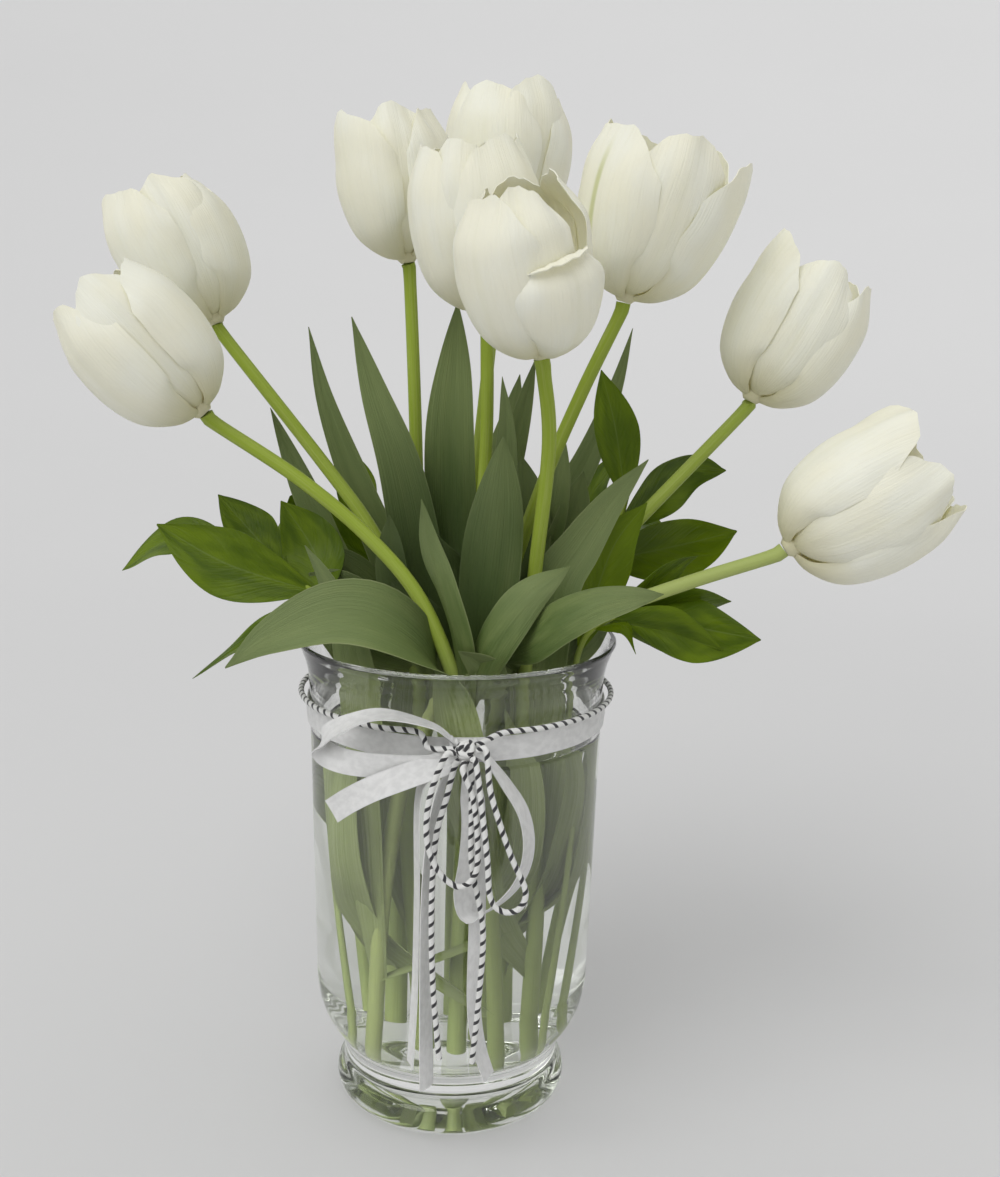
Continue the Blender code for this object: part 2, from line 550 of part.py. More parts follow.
def receptacle(bm):
    """The solid base that the petals grow from."""
    rings = ((RECEPTACLE_RADIUS, 0.0), (RECEPTACLE_RADIUS + 1.4, 1.4), (RECEPTACLE_RADIUS + 2.2, 4.0),
             (RECEPTACLE_RADIUS, 8.0))
    turns = [tau * k / RECEPTACLE_SIDES for k in range(RECEPTACLE_SIDES)]
    loops = [[bm.verts.new(Vector((r * cos(turn), r * sin(turn), z)) * MM) for turn in turns] for r, z in rings]
    for low, high in zip(loops, loops[1:]):
        for k in range(RECEPTACLE_SIDES):
            bm.faces.new((low[k - 1], low[k], high[k], high[k - 1]))
    bm.faces.new(loops[0])
    bm.faces.new(loops[-1])


def make_bloom(number):
    _, base, axis, length, radius, opening, outer = TULIPS[number]
    turns = [outer, [(a + b) / 2 for a, b in zip(outer, [*outer[1:], outer[0] + 360])]]
    draw = random.Random(number)
    parts = [piece("receptacle", receptacle, "white_petal", PETAL)]
    layers = ((OUTER_PETAL, OUTER_WIDTH, OUTER_SHARES, 3), (INNER_PETAL, INNER_WIDTH, INNER_SHARES, 2))
    for layer, (outline, width, shares, columns) in enumerate(layers):
        for k in range(PETALS):
            angle = radians(turns[layer][k])
            lean = draw.uniform(-1.5, 2.5) * (1 - layer)
            tall = length * draw.uniform(0.94, 1.0)
            if (number, PETALS * layer + k) in SHORT_PETALS:
                lean += SHORT_LEAN
                tall *= SHORT_PETALS[number, PETALS * layer + k]
            shape = (outline, angle, width, tall, radius, opening, lean, shares, columns)
            parts.append(piece("petal", lambda bm: petal(bm, *shape), "white_petal", PETAL))
    bloom = join(f"tulip_{number}_bloom", parts, "white_petal", PETAL)
    way = Vector(axis).normalized()
    bloom.rotation_mode = "QUATERNION"
    bloom.rotation_quaternion = Vector((0, 0, 1)).rotation_difference(way)
    bloom.location = (Vector(base) + way * GAP) * MM
    return bloom


# --- leafy sprigs ---------------------------------------------------------------------------------
def make_sprig(name):
    route, leaves = SPRIGS[name]
    curve = even_points(dense_curve(route), SPRIG_STEPS)
    half = SPRIG_STEPS // 2
    points = [*curve[:half:10], *curve[half::5]]
    radii = [SPRIG_RADIUS] * len(points)
    parts = [piece("stem", lambda bm: tube(bm, points, tangents(points), radii, SPRIG_SIDES), "sprig_green",
                   SPRIG_GREEN)]
    for share, middle, tip, width, side in leaves:
        path = [curve[round(share * SPRIG_STEPS)], middle, tip]
        parts.append(piece("leaf", lambda bm: leaf(bm, path, width, side, side, 0.3, SPRIG_LEAF_ROWS,
                                                   SPRIG_LEAF_SHAPE), "sprig_green", SPRIG_GREEN))
    join(f"sprig_{name}", parts, "sprig_green", SPRIG_GREEN, "MANIFOLD")
    return points


# --- ribbon and twine -----------------------------------------------------------------------------
def band(bm):
    """The ribbon round the neck, as a closed ring."""
    inner = (BODY_TOP_RADIUS + GAP) / cos(pi / BAND_TURNS)
    outer = inner + RIBBON_THICK
    loops = []
    turns = [tau * k / BAND_TURNS for k in range(BAND_TURNS)]
    for radius, edge in ((inner, -0.5), (outer, -0.5), (outer, 0.5), (inner, 0.5)):
        height = RIBBON_HEIGHT + edge * RIBBON_WIDTH
        loops.append([bm.verts.new(Vector((radius * cos(turn), radius * sin(turn), height)) * MM)
                      for turn in turns])
    for first, second in zip(loops, loops[1:] + loops[:1]):
        for k in range(BAND_TURNS):
            bm.faces.new((first[k - 1], first[k], second[k], second[k - 1]))


def knot(bm):
    bmesh.ops.create_icosphere(bm, subdivisions=1, radius=1.0)
    for vert in bm.verts:
        vert.co = Vector((vert.co.x * KNOT_SIZE.x, vert.co.y * KNOT_SIZE.y, vert.co.z * KNOT_SIZE.z))
        vert.co = (vert.co + KNOT) * MM


def strip(bm, route, side_root, side_tip):
    """One free length of ribbon."""
    curve = dense_curve(route)
    rows = round(STRIP_ROWS * len(route))
    points = even_points(curve, rows)
    sides = [Vector(side_root).lerp(Vector(side_tip), i / rows) for i in range(rows + 1)]
    widths = [RIBBON_WIDTH * PINCH, *[RIBBON_WIDTH] * rows]
    blade(bm, points, sides, widths, [0.0] * (rows + 1), RIBBON_THICK, 1)


def make_ribbon():
    parts = [piece("band", band, "white_satin", SATIN), piece("knot", knot, "white_satin", SATIN)]
    for route, side_root, side_tip in RIBBON_STRIPS:
        parts.append(piece("strip", lambda bm: strip(bm, route, side_root, side_tip), "white_satin", SATIN))
    return join("ribbon", parts, "white_satin", SATIN, "MANIFOLD")


def cord(name, points):
    """A length of twine with closed ends, through the points."""
    curve = bpy.data.curves.new(name, "CURVE")
    curve.dimensions = "3D"
    spline = curve.splines.new("POLY")
    spline.points.add(len(points) - 1)
    for slot, point in zip(spline.points, points):
        slot.co = (*(point * MM), 1.0)
    curve.bevel_depth = TWINE_RADIUS * MM
    curve.bevel_resolution = 2
    curve.use_fill_caps = True
    curve.materials.append(material("twine", COTTON))
    thing = bpy.data.objects.new(name, curve)
    bpy.context.scene.collection.objects.link(thing)
    return thing


def leaving(end):
    """The first two points of a strand that leaves the twine's knot straight."""
    way = Vector(TWINE_ENDS[end]).normalized()
    return [TWINE_KNOT + way * (TWINE_KNOT_RADIUS + GAP + 0.1), TWINE_KNOT + way * (TWINE_KNOT_RADIUS + 4.0)]


def band_middle():
    """The twine's run round the neck, and under the ribbon's left loop to the knot."""
    radius = BODY_TOP_RADIUS + RIBBON_THICK + 2 * GAP + TWINE_RADIUS + 0.9
    first, last = -pi * 0.40, pi * 1.44
    around = [Vector((radius * cos(a), radius * sin(a), TWINE_HEIGHT))
              for a in (first + (last - first) * k / 24 for k in range(25))]
    under_loop = Vector((-8, -66.0, 172.8))
    return [*around, under_loop]


def strand_points(out, middle, back, steps):
    """A strand's points: straight at the knot, and evenly spaced along a smooth curve between."""
    start = leaving(out)
    end = leaving(back)[::-1] if back else []
    route = [*start, *middle, *end]
    return [start[0], *even_points(dense_curve(route[1:-1] if back else route[1:]), steps), *end[1:]]


def make_twine():
    def ball(bm):
        bmesh.ops.create_icosphere(bm, subdivisions=2, radius=TWINE_KNOT_RADIUS * MM)
        bmesh.ops.translate(bm, verts=bm.verts, vec=TWINE_KNOT * MM)
    piece("twine_knot", ball, "twine", COTTON)
    cord("twine_band", strand_points("band_right", band_middle(), "band_left", BAND_STEPS))
    for name, strand in TWINE_ROUTES.items():
        cord(name, strand_points(*strand))


def main():
    clear_scene()
    make_vase()
    stems, wet_leaves = [], []
    for number in TULIPS:
        points, leaves = make_stem(number)
        stems.append((points, STEM_RADIUS, STEM_SIDES))
        wet_leaves += leaves
        make_bloom(number)
    for name in SPRIGS:
        points = make_sprig(name)
        stems.append((points, SPRIG_RADIUS, SPRIG_SIDES))
    make_water(stems, wet_leaves)
    make_ribbon()
    make_twine()


main()
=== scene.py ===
"""Nine white tulips and five leafy sprigs in a clear glass vase of water, tied with ribbon and baker's twine.

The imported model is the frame. Routes and outlines are in millimetres, +Z is up, and -Y is the front.
"""

import random
from math import cos, pi, radians, sin, tau

import bmesh
import bpy
import numpy as np
from mathutils import Matrix, Vector


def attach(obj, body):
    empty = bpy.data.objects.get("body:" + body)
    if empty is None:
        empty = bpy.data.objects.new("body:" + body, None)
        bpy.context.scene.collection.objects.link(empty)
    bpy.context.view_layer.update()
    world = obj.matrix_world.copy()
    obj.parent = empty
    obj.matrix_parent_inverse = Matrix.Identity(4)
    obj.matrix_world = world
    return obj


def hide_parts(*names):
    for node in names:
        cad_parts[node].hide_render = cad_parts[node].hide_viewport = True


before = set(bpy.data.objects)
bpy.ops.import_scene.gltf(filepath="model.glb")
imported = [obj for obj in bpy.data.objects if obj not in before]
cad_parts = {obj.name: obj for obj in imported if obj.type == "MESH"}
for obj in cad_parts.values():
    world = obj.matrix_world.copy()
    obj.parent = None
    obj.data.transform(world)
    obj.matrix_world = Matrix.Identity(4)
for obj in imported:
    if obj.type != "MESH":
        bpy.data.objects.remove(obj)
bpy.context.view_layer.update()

MM = 0.001
GAP = 0.3  # between pieces that touch

# --- vase and water -------------------------------------------------------------------------------
PUNT = 4.5  # height of the hollow under the foot
OUTER_WALL = ((14, 4.3), (28, 3.6), (36, 1.6), (40, 0.1), (43, 0.1), (46, 1.4), (48.2, 4), (48.9, 7.5),
              (48.2, 11), (46.6, 13.8), (45.6, 17), (45.6, 21), (47.4, 27), (51.6, 33), (55.2, 40),
              (57.2, 49), (57.8, 60), (58.6, 100), (59.6, 150), (60.3, 180), (61.4, 189), (63.6, 195.6),
              (65.0, 198.6))
RIM = ((64.9, 199.6), (64.2, 200.0), (63.3, 199.4))
INNER_WALL = ((61.9, 196.2), (59.2, 190.6), (57.1, 181), (56.3, 150), (55.3, 100), (54.5, 60), (53.8, 51),
              (51.6, 42.5), (46.6, 33), (41, 28.6), (34, 27.2), (20, 27), (0, 27))
VASE_TURNS = 144
WATER_LEVEL = 161.0
WATER_LAP = 0.12  # how far the water's skin lies inside the glass, so that no air shows between them
WATER_EDGE = ((-WATER_LAP, 0.9), (0.4, 0.7), (1.2, 0.25), (2.6, 0))  # how far in from the wall, and how high

# --- plants ---------------------------------------------------------------------------------------
STEM_RADIUS = 3.1
STEM_TAPER = 0.14  # share that it loses from foot to neck
NECK = 5.0  # straight length of stem under a bloom
TULIP_LEAF_SHAPE = (0.4, 0.5, 2.5)  # width share at the root, where it is widest, how blunt it ends
SPRIG_RADIUS = 1.6
SPRIG_STEPS = 60
SPRIG_LEAF_SHAPE = (0.12, 0.52, 1.6)
PETALS = 3  # in each of two layers
OUTER_PETAL = ((2.0, 1.4), (11.0, 3.6), (20.6, 12.4), (25.0, 29.0), (24.0, 47.0), (18.5, 62.5))
INNER_PETAL = ((1.5, 3.0), (10.0, 6.4), (18.0, 16.0), (22.4, 32.0), (21.6, 49.0), (15.5, 64.0))
NOMINAL_LENGTH = 64.0  # of the bloom that the two outlines are drawn for
NOMINAL_RADIUS = 25.0
OUTER_WIDTH = 49.0
INNER_WIDTH = 40.0
SEAT_HEIGHT = 8.0  # of the knob that the petals grow from
SEAT_RADII = ((0, 0.18, 0.5, 1), (2.9, 4.1, 4.8, 2.9))  # shares of its height, and its radii there
PISTIL_RADII = (2.4, 2.6, 2.7, 2.7, 2.6, 2.4, 2.2, 3.4, 2.6)
STAMENS = 6
STAMEN_LINE = ((3, 7), (4.6, 12), (5.6, 17), (6.0, 18.5), (6.3, 24), (6.6, 29.5))
STAMEN_RADII = ((0, 0.5, 0.56, 0.75, 1), (0.9, 0.6, 1.3, 1.5, 0.5))  # shares of its length, and radii there
PETAL_SPREAD = 0.95  # most that half a petal wraps round the bloom, in radians
TIP_IN = (2.0, 1.0)  # how far the tips of outer and inner petals bend in
HUG = (3.4, 1.4)  # how far their margins press in
PETAL_FORMS = {  # bloom and petal (outer 0 to 2, inner 3 to 5): what sets it apart
    (2, 3): {"cusp": 0.05, "tip": 0.0},
    (3, 0): {"cusp": 0.05, "tip": -3.5},
    (5, 1): {"tip": 3.0},
    (6, 0): {"turn": -128, "tip": 5.0, "stretch": 1.03},
    (6, 2): {"tip": 5.0, "stretch": 1.05, "cusp": 0.03},
    (6, 3): {"tip": 7.0, "stretch": 1.04},
    (6, 4): {"tip": 4.5, "stretch": 1.04, "cusp": 0.04},
    (6, 5): {"tip": 6.0, "stretch": 1.0},
    (6, 1): {"turn": -56, "tip": 4.5, "fold": (0.89, -0.05, 1.3, 2.5)},
    (7, 0): {"tip": 1.0, "tone": 1.0},
    (7, 1): {"tip": -1.0, "cusp": 0.03},
    (8, 0): {"tip": -3.5},
    (9, 0): {"tip": -3.0, "ruffle": 1.5},
}

# Each tulip: stem route, bloom base, bloom axis, bloom length, bloom radius, opening at the tips, and the
# directions of its outer petals in degrees; the inner petals stand midway between them.
TULIPS = {
    1: (((17, -28, 27.6), (15, -35, 90), (9, -39, 150), (2, -37, 185), (-13, -29, 219), (-34, -20, 242),
         (-62, -15, 264)), (-99, -10, 288), (-0.68, -0.08, 0.72), 67, 26.5, 0.0,
        (-130, -8, 110)),
    2: (((-8, -6, 27.6), (-13, -2, 100), (-16, 3, 170), (-24, 8, 215), (-37, 15, 240), (-59, 25, 267)),
        (-105, 45, 321), (-0.46, 0.10, 0.88), 66, 27.0, 1.0,
        (-126, -10, 112)),
    3: (((-16, 18, 27.6), (-16, 19, 100), (-16, 22, 170), (-18, 28, 230), (-21, 40, 292)),
        (-25, 50, 348), (-0.16, 0.02, 0.98), 64, 25.5, 1.0,
        (-134, -18, 105)),
    4: (((0, 31, 27.6), (0, 32, 100), (0, 36, 170), (4, 52, 240), (9, 74, 300)),
        (14, 93, 362), (0.02, 0.12, 0.99), 68, 28.5, 3.5,
        (-108, 8, 130)),
    5: (((2, -8, 27.6), (3, -6, 100), (4, 2, 170), (8, 12, 230), (10, 15, 278)),
        (9, 10, 328), (-0.10, -0.04, 1.0), 69, 26.0, 1.5,
        (-160, -58, 70)),
    6: (((25, -7, 27.6), (28, -13, 100), (27, -18, 170), (30, -22, 225), (34, -36, 280)),
        (30, -50, 314), (-0.18, -0.22, 0.96), 63, 26.0, 1.5,
        (-146, -34, 90)),
    7: (((13, 20, 27.6), (14, 18, 100), (15, 17, 170), (20, 15, 215), (34, 12, 262), (48, 10, 298)),
        (63, 5, 334), (0.26, -0.05, 0.96), 68, 28.5, 8.0,
        (-142, -12, 103)),
    8: (((8, 4, 27.6), (12, 2, 100), (17, 3, 165), (38, 5, 202), (56, 8, 228), (77, 12, 251)),
        (118, 25, 295), (0.47, 0.05, 0.88), 66, 27.0, 2.0,
        (-165, -17, 90)),
    9: (((-26, -20, 27.6), (-23, -24, 100), (-14, -26, 160), (2, -27, 187), (30, -31, 206), (60, -31, 218.5),
         (92, -32, 231)), (124, -35, 244), (0.84, -0.05, 0.54), 68, 27.5, 1.5,
        (-164, -6, 95)),
}

SHORT_PETALS = {(6, 1): 0.74}  # bloom and petal: its share of the usual length
SHORT_LEAN = 4.0  # how much further out a short petal's tip stands

# Each tulip leaf: its tulip, the height where it leaves the stem, its route after that, its width, the
# direction across it at the root and at the tip, and how far each half curls, in radians.
TULIP_LEAVES = (
    (1, 100, ((6.5, -43, 135), (0.5, -44.2, 170), (-8, -44.2, 199), (-26, -49, 215.5), (-45, -51, 219),
              (-68, -53, 210), (-84.5, -54, 198)), 31, (-0.8, 0.4, 0.2), (0.1, 0.45, 0.85), 0.35),
    (1, 172, ((3, -47, 203), (-4, -47, 228), (-10, -43, 245), (-13, -40, 261)),
     13, (-0.7, 0.7, 0), (-0.8, 0.5, 0), 0.5),
    (1, 176, ((12, -50, 203), (19, -52, 216), (29, -50, 228), (43, -46, 238)),
     17, (-0.6, 0.2, 0.6), (-0.4, 0.4, 0.6), 0.5),
    (2, 80, ((-19, 2, 120), (-18, 5, 165), (-15, 6, 195), (-17, 9, 225), (-25, 12, 265), (-36, 14, 297),
             (-45, 15, 326)), 22, (1, 0.1, 0), (1, 0.2, 0), 0.3),
    (2, 182, ((-33, 15, 206), (-53, 27, 225), (-67, 38, 250), (-77, 46, 270), (-84, 50, 286)),
     14, (0.7, 0.7, 0), (0.8, 0.5, 0), 0.4),
    (2, 178, ((-20, -5, 205), (-26, -6, 228), (-28, -3, 249)), 17, (1, -0.3, 0), (1, -0.3, 0), 0.35),
    (3, 70, ((-22, 22, 110), (-23, 25, 160), (-22, 28, 198), (-32, 34, 225), (-47, 38, 258), (-59, 40, 290),
             (-66, 41, 321)), 16, (1, 0.2, 0), (1, 0.2, 0), 0.4),
    (3, 172, ((-19, 38, 200), (-23, 60, 224), (-28, 80, 232), (-31, 96, 222)),
     22, (0.8, 0.5, 0), (0.9, 0.4, 0), 0.3),
    (4, 180, ((8, 40, 215), (16, 41, 250), (23, 43, 280), (30, 46, 310)),
     13, (0.9, 0.3, 0), (0.9, 0.3, 0), 0.4),
    (4, 170, ((6, 52, 205), (12, 72, 240), (20, 90, 275), (24, 98, 300)),
     20, (1, -0.2, 0), (1, -0.2, 0), 0.35),
    (5, 178, ((2, 13, 207), (-3, 20, 237), (-5, 25, 280), (-4, 28, 310), (-3, 29, 333)),
     22, (1, 0, 0), (1, 0, 0), 0.35),
    (5, 185, ((13, 4, 215), (17, 2, 246), (18, 4, 280), (16, 8, 304)),
     11, (1, 0.3, 0), (1, 0.2, 0), 0.3),
    (5, 188, ((2, -7, 212), (-2, -14, 231), (-8, -18, 244)), 15, (-1, 0.2, 0), (-0.6, 0.3, 0.6), 0.7),
    (6, 95, ((31, -16, 140), (33, -17, 180), (38, -19, 222), (48, -15, 240), (60, -9, 257), (75, 0, 273)),
     22, (0.9, -0.3, 0), (0.7, 0.1, -0.7), 0.3),
    (7, 90, ((20, 23, 130), (22, 27, 175), (25, 31, 215), (38, 38, 240), (54, 47, 268), (65, 55, 296),
             (72, 60, 323)), 15, (0.8, -0.5, -0.2), (0.8, -0.4, -0.2), 0.35),
    (7, 190, ((30, 24, 222), (38, 27, 250), (42, 32, 281)), 16, (1, 0.1, 0), (1, 0.1, 0), 0.3),
    (8, 120, ((22, 5, 150), (31, 9, 185), (44, 18, 216), (58, 40, 234), (72, 62, 232), (82, 76, 220)),
     20, (0.6, -0.7, 0), (0.7, -0.6, 0), 0.3),
    (9, 183, ((10, -33, 205), (12, -32, 222), (15, -27, 251), (17, -21, 283)),
     24, (-1, 0, 0), (-1, 0.1, 0), 0.35),
    (9, 60, ((-30, -25, 100), (-34, -27, 140), (-38, -26, 180), (-44, -23, 207), (-52, -20, 226),
             (-60, -16, 238)), 20, (-0.7, 0.7, 0), (-0.8, 0.3, 0.5), 0.35),
    (9, 199, ((28, -48, 208), (38, -57, 219), (51, -60, 227), (64, -58, 229.5), (77, -55, 230)),
     18, (-0.3, 0.6, 0.7), (-0.1, 0.6, 0.7), 0.4),
)

# Each sprig: stem route, then its leaves: the share of the stem's length where the leaf leaves it, a middle
# point, the tip, the width, and the direction across it.
SPRIGS = {
    "left": (((-31, -9, 27.6), (-40, -11, 100), (-45, -10, 165), (-49, -6, 200), (-60, 2, 216),
              (-78, 12, 226), (-96, 20, 230)),
             ((0.74, (-69, -24, 208), (-102, -31, 187), 13, (0.3, 0.8, 0.5)),
              (0.79, (-60, 14, 229), (-75, 20, 250), 26, (0.8, 0.2, 0.5)),
              (0.82, (-95, 4, 226), (-124, 8, 241), 29, (0.3, 0.3, 0.9)),
              (0.88, (-86, 25, 233), (-104, 34, 250), 22, (0.6, 0.3, 0.6)),
              (0.98, (-122, 28, 231.5), (-145.5, 32, 216.5), 22, (0.1, 0.75, 0.6)))),
    "right": (((33, 4, 27.6), (41, 6, 100), (45, 8, 165), (49, 14, 200), (58, 22, 222), (66, 27, 240),
               (70, 29, 256)),
              ((0.86, (95, 20, 236), (114, 12, 243), 33, (0.2, 0.4, -0.9)),
               (0.93, (93, 34, 263), (112, 36, 265), 27, (0.2, 0.4, -0.8)),
               (0.98, (64, 32, 282), (57.5, 38, 306), 20, (1, 0.2, 0)))),
    "right_front": (((31, -16, 27.6), (40, -17, 100), (45, -15, 165), (50, -12, 199), (61, -11, 210),
                     (70, -10, 211.5)),
                    ((0.86, (61, -5, 236), (75, -2, 256), 22, (0.8, 0.2, -0.5)),
                     (0.92, (66.5, -19, 208.5), (71, -24, 199), 8, (0.3, 0.8, 0.3)),
                     (0.95, (88, -2, 230), (97, 0, 234.5), 14, (0.3, 0.5, -0.8)),
                     (0.98, (92, -13, 208), (122, -12, 203), 29, (0.1, 0.6, 0.75)))),
    "back_left": (((-22, 27, 27.6), (-26, 36, 100), (-28, 42, 165), (-31, 47, 200), (-42, 62, 220),
                   (-56, 76, 232)),
                  ((0.86, (-63, 52, 234), (-78, 60, 234), 18, (0.3, 0.3, 0.9)),
                   (0.93, (-50, 74, 250), (-60, 84, 268), 19, (0.9, 0.3, 0.2)),
                   (0.98, (-76, 94, 234), (-92, 108, 222), 22, (0.7, -0.7, 0.3)))),
    "back_right": (((22, 26, 27.6), (28, 35, 100), (31, 41, 165), (34, 46, 200), (45, 63, 218),
                    (58, 78, 228)),
                   ((0.86, (30, 78, 228), (28, 104, 226), 22, (0.9, 0.1, 0.3)),
                    (0.93, (56, 72, 246), (68, 82, 266), 19, (0.8, -0.5, 0.2)),
                    (0.98, (80, 92, 232), (98, 102, 222), 22, (0.6, -0.7, 0.3)))),
}

# Leaves that stand behind and under the others, in the same terms. The last seven are in the water, and the
# number at their end picks the pattern of their veins and patches.
INNER_LEAVES = (
    (3, 189, ((-32, 22, 203), (-50, 20, 220), (-66, 19, 231)), 24, (0.5, 0.6, 0.6), (0.5, 0.5, 0.7), 0.4),
    (7, 196, ((25, 22, 222), (27, 25, 246), (25, 28, 270)), 22, (1, 0.1, 0), (1, 0.1, 0), 0.3),
    (7, 194, ((28, 24, 208), (44, 28, 236), (51, 30, 264)), 20, (0.8, 0.2, -0.5), (0.8, 0.2, -0.5), 0.3),
    (5, 170, ((-6, -10, 190), (-15, -14, 207), (-26, -13, 224)), 24, (0.6, 0.5, 0.6), (0.6, 0.4, 0.7), 0.4),
    (6, 188, ((21, -23, 198), (17, -26, 214), (14, -24, 231)), 20, (-1, 0.2, 0), (-1, 0.2, 0), 0.4),
    (8, 188, ((28, -4, 194), (42, -8, 211), (54, -8, 229)), 22, (0.6, 0.3, -0.7), (0.6, 0.3, -0.7), 0.4),
    (2, 190, ((-30, 5, 200), (-48, 8, 214), (-62, 8, 222)), 24, (0.3, 0, 1), (0.3, 0, 1), 0.4),
    (4, 190, ((-8, 26, 200), (-22, 34, 216), (-34, 38, 236)), 26, (1, 0, 0.3), (1, 0, 0.3), 0.4),
    (9, 190, ((34, 8, 200), (50, 12, 213), (66, 12, 222)), 26, (-0.3, 0, 1), (-0.3, 0, 1), 0.4),
    (8, 190, ((38, -10, 196), (52, -8, 206), (64, -4, 214)), 26, (-0.4, 0, 0.9), (-0.4, 0, 0.9), 0.4),
    (2, 182, ((-34, -6, 190), (-47, -8, 200), (-59, -10, 207)), 20, (0.2, 0, 1), (0.2, 0, 1), 0.4),
    (6, 184, ((14, -40, 190), (12, -48, 199), (2, -52, 206)), 18, (0.2, -0.6, 0.8), (0.8, -0.3, 0.5), 0.4),
    (8, 60, ((28, -10, 95), (38, -20, 122), (43, -22, 148), (34, -16, 172)), 18,
     (0.5, 0.8, 0), (0.4, 0.9, 0), 0.5, 2.0),
    (9, 60, ((30, -6, 90), (44, -10, 118), (48, -8, 146), (40, -4, 172)), 16,
     (0.2, 0.95, 0), (0.2, 0.95, 0), 0.5, 1.7),
    (7, 50, ((20, 10, 90), (36, 22, 120), (40, 24, 150), (30, 18, 176)), 18,
     (0.6, -0.7, 0), (0.6, -0.7, 0), 0.4, 1.9),
    (6, 60, ((14, -20, 92), (24, -34, 120), (26, -36, 150), (20, -26, 176)), 18,
     (0.9, 0.4, 0), (0.9, 0.4, 0), 0.4, 1.6),
    (3, 50, ((-27, -6, 80), (-36, -17, 112), (-39, -18, 148), (-30, -10, 176)), 18,
     (0.6, -0.8, 0), (0.5, -0.8, 0), 0.4, 2.0),
    (1, 50, ((-24, -16, 80), (-36, -26, 108), (-38, -28, 140), (-32, -18, 172)), 20,
     (0.7, -0.7, 0), (0.7, -0.7, 0), 0.4, 1.7),
    (2, 60, ((-14, 8, 90), (-34, 26, 120), (-38, 28, 150), (-26, 20, 176)), 20,
     (0.7, 0.7, 0), (0.7, 0.7, 0), 0.4, 2.0),
)
# The same for a sprig: share of the twig, middle, tip, width and side.
INNER_SPRIG_LEAVES = {
    "right_front": ((0.93, (84, -4, 213), (112, 4, 215), 26, (0.1, -0.7, 0.7)),
                    (0.95, (84, -14, 206), (106, -18, 200), 22, (0.1, -0.4, 0.9))),
}

# --- ties -----------------------------------------------------------------------------------------
RIBBON_WIDTH = 9.5
RIBBON_THICK = 0.6
RIBBON_HEIGHT = 170.5  # middle of the band
PINCH = 0.55  # share of its width where a strip leaves the knot
BAND_TURNS = 40  # flat sides of the solid band
KNOT = Vector((5.0, -64.2, 171.5))
KNOT_WRAPS = ((-0.5, 0.0), (0.35, 0.5), (-0.05, 0.9))  # how far each leans, and how far in it lies
KNOT_WRAP_WIDTH = 6.0
RIBBON_STRIPS = (  # route, direction across at each end
    (((3, -64.5, 173), (-7, -66, 181), (-25, -68, 185.5), (-38, -66.5, 181.5), (-47.5, -61, 174),
      (-46, -60.5, 167.5), (-34, -65, 165.5), (-12, -68.3, 166), (3, -65.4, 167.5)),
     (0.15, 0.85, -0.25), (0, -0.35, 1)),
    (((3, -65, 169), (-5, -69.8, 167), (-14, -71, 164), (-28, -69, 157.5), (-37, -65.5, 151.5),
      (-44, -61.5, 145.5)), (-0.3, 0.5, 0.8), (-0.5, 0.25, 0.8)),
    (((7, -65, 172), (14, -66.5, 169), (21, -67, 160), (28, -66.5, 148), (30.2, -66, 134), (27, -66, 121),
      (18, -66, 110.5), (9, -66.3, 107.5), (6, -66.5, 116), (8, -66.5, 130), (9, -66, 146), (7, -65.5, 166)),
     (0.1, 1, 0.1), (1, 0.25, 0)),
    # the tails
    (((4, -65, 169), (-2, -68.5, 160), (-6, -68, 140), (-7.7, -66, 112), (-7.7, -64.8, 71),
      (-7.1, -64.6, 33.7)), (0.42, 0.9, 0), (0.64, 0.77, 0)),
    (((3, -65, 169), (-6, -66.5, 163), (-11.5, -65, 152), (-11.5, -63.6, 112), (-12, -63.2, 75),
      (-13.5, -63.4, 42.6)), (0.3, 0.95, 0), (0.35, 0.93, 0)),
    (((6, -64.6, 168), (8.5, -63.2, 150), (10.5, -62.9, 125), (11.3, -63.2, 106), (10.7, -63.6, 71),
      (13, -63.8, 52), (17.1, -64, 38.5)), (1, 0.25, 0), (0.5, 0.85, 0)),
)
TWINE_RADIUS = 1.15
TWINE_HEIGHT = 177.4
TWINE_KNOT = Vector((6.0, -72.2, 174.4))
TWINE_KNOT_RADIUS = 4.2
TWINE_ENDS = {  # the way each strand leaves the knot
    "band_right": (0.80, 0.60, 0.20),
    "band_left": (-0.85, 0.50, -0.15),
    "loop_left_out": (-0.85, -0.50, -0.10),
    "loop_left_back": (-0.10, -0.60, -0.80),
    "loop_right_out": (0.90, -0.42, 0.10),
    "loop_right_back": (0.50, -0.60, -0.62),
    "tail_left": (-0.50, 0.10, -0.86),
    "tail_right": (0.25, 0.10, -0.96),
}
TWINE_ROUTES = {  # how the strand leaves the knot, its route, and how it comes back
    "twine_loop_left": (
        "loop_left_out",
        ((-5, -77.5, 164), (-7.5, -78, 152), (-7, -78, 139), (-2, -77.8, 128), (5, -77.5, 123.5),
         (10.5, -77.5, 129), (11, -77.5, 142), (9, -77.5, 158)),
        "loop_left_back"),
    "twine_loop_right": (
        "loop_right_out",
        ((15, -78, 162), (18.5, -79, 150), (23.5, -79.5, 136), (28.8, -80, 123.5), (26.5, -80.2, 116.5),
         (20.5, -80.3, 115.5), (16, -80.4, 121), (14.4, -80.5, 138)),
        "loop_right_back"),
    "twine_tail_left": (
        "tail_left",
        ((-1, -72.6, 155), (-4.5, -72.6, 140), (-5.8, -71, 113), (-5, -69.5, 80), (-2.3, -69, 49)),
        None),
    "twine_tail_right": (
        "tail_right",
        ((8.5, -74, 150), (9, -74, 130), (13.5, -73, 105), (12.5, -71.5, 76), (10.4, -69.8, 48)),
        None),
}
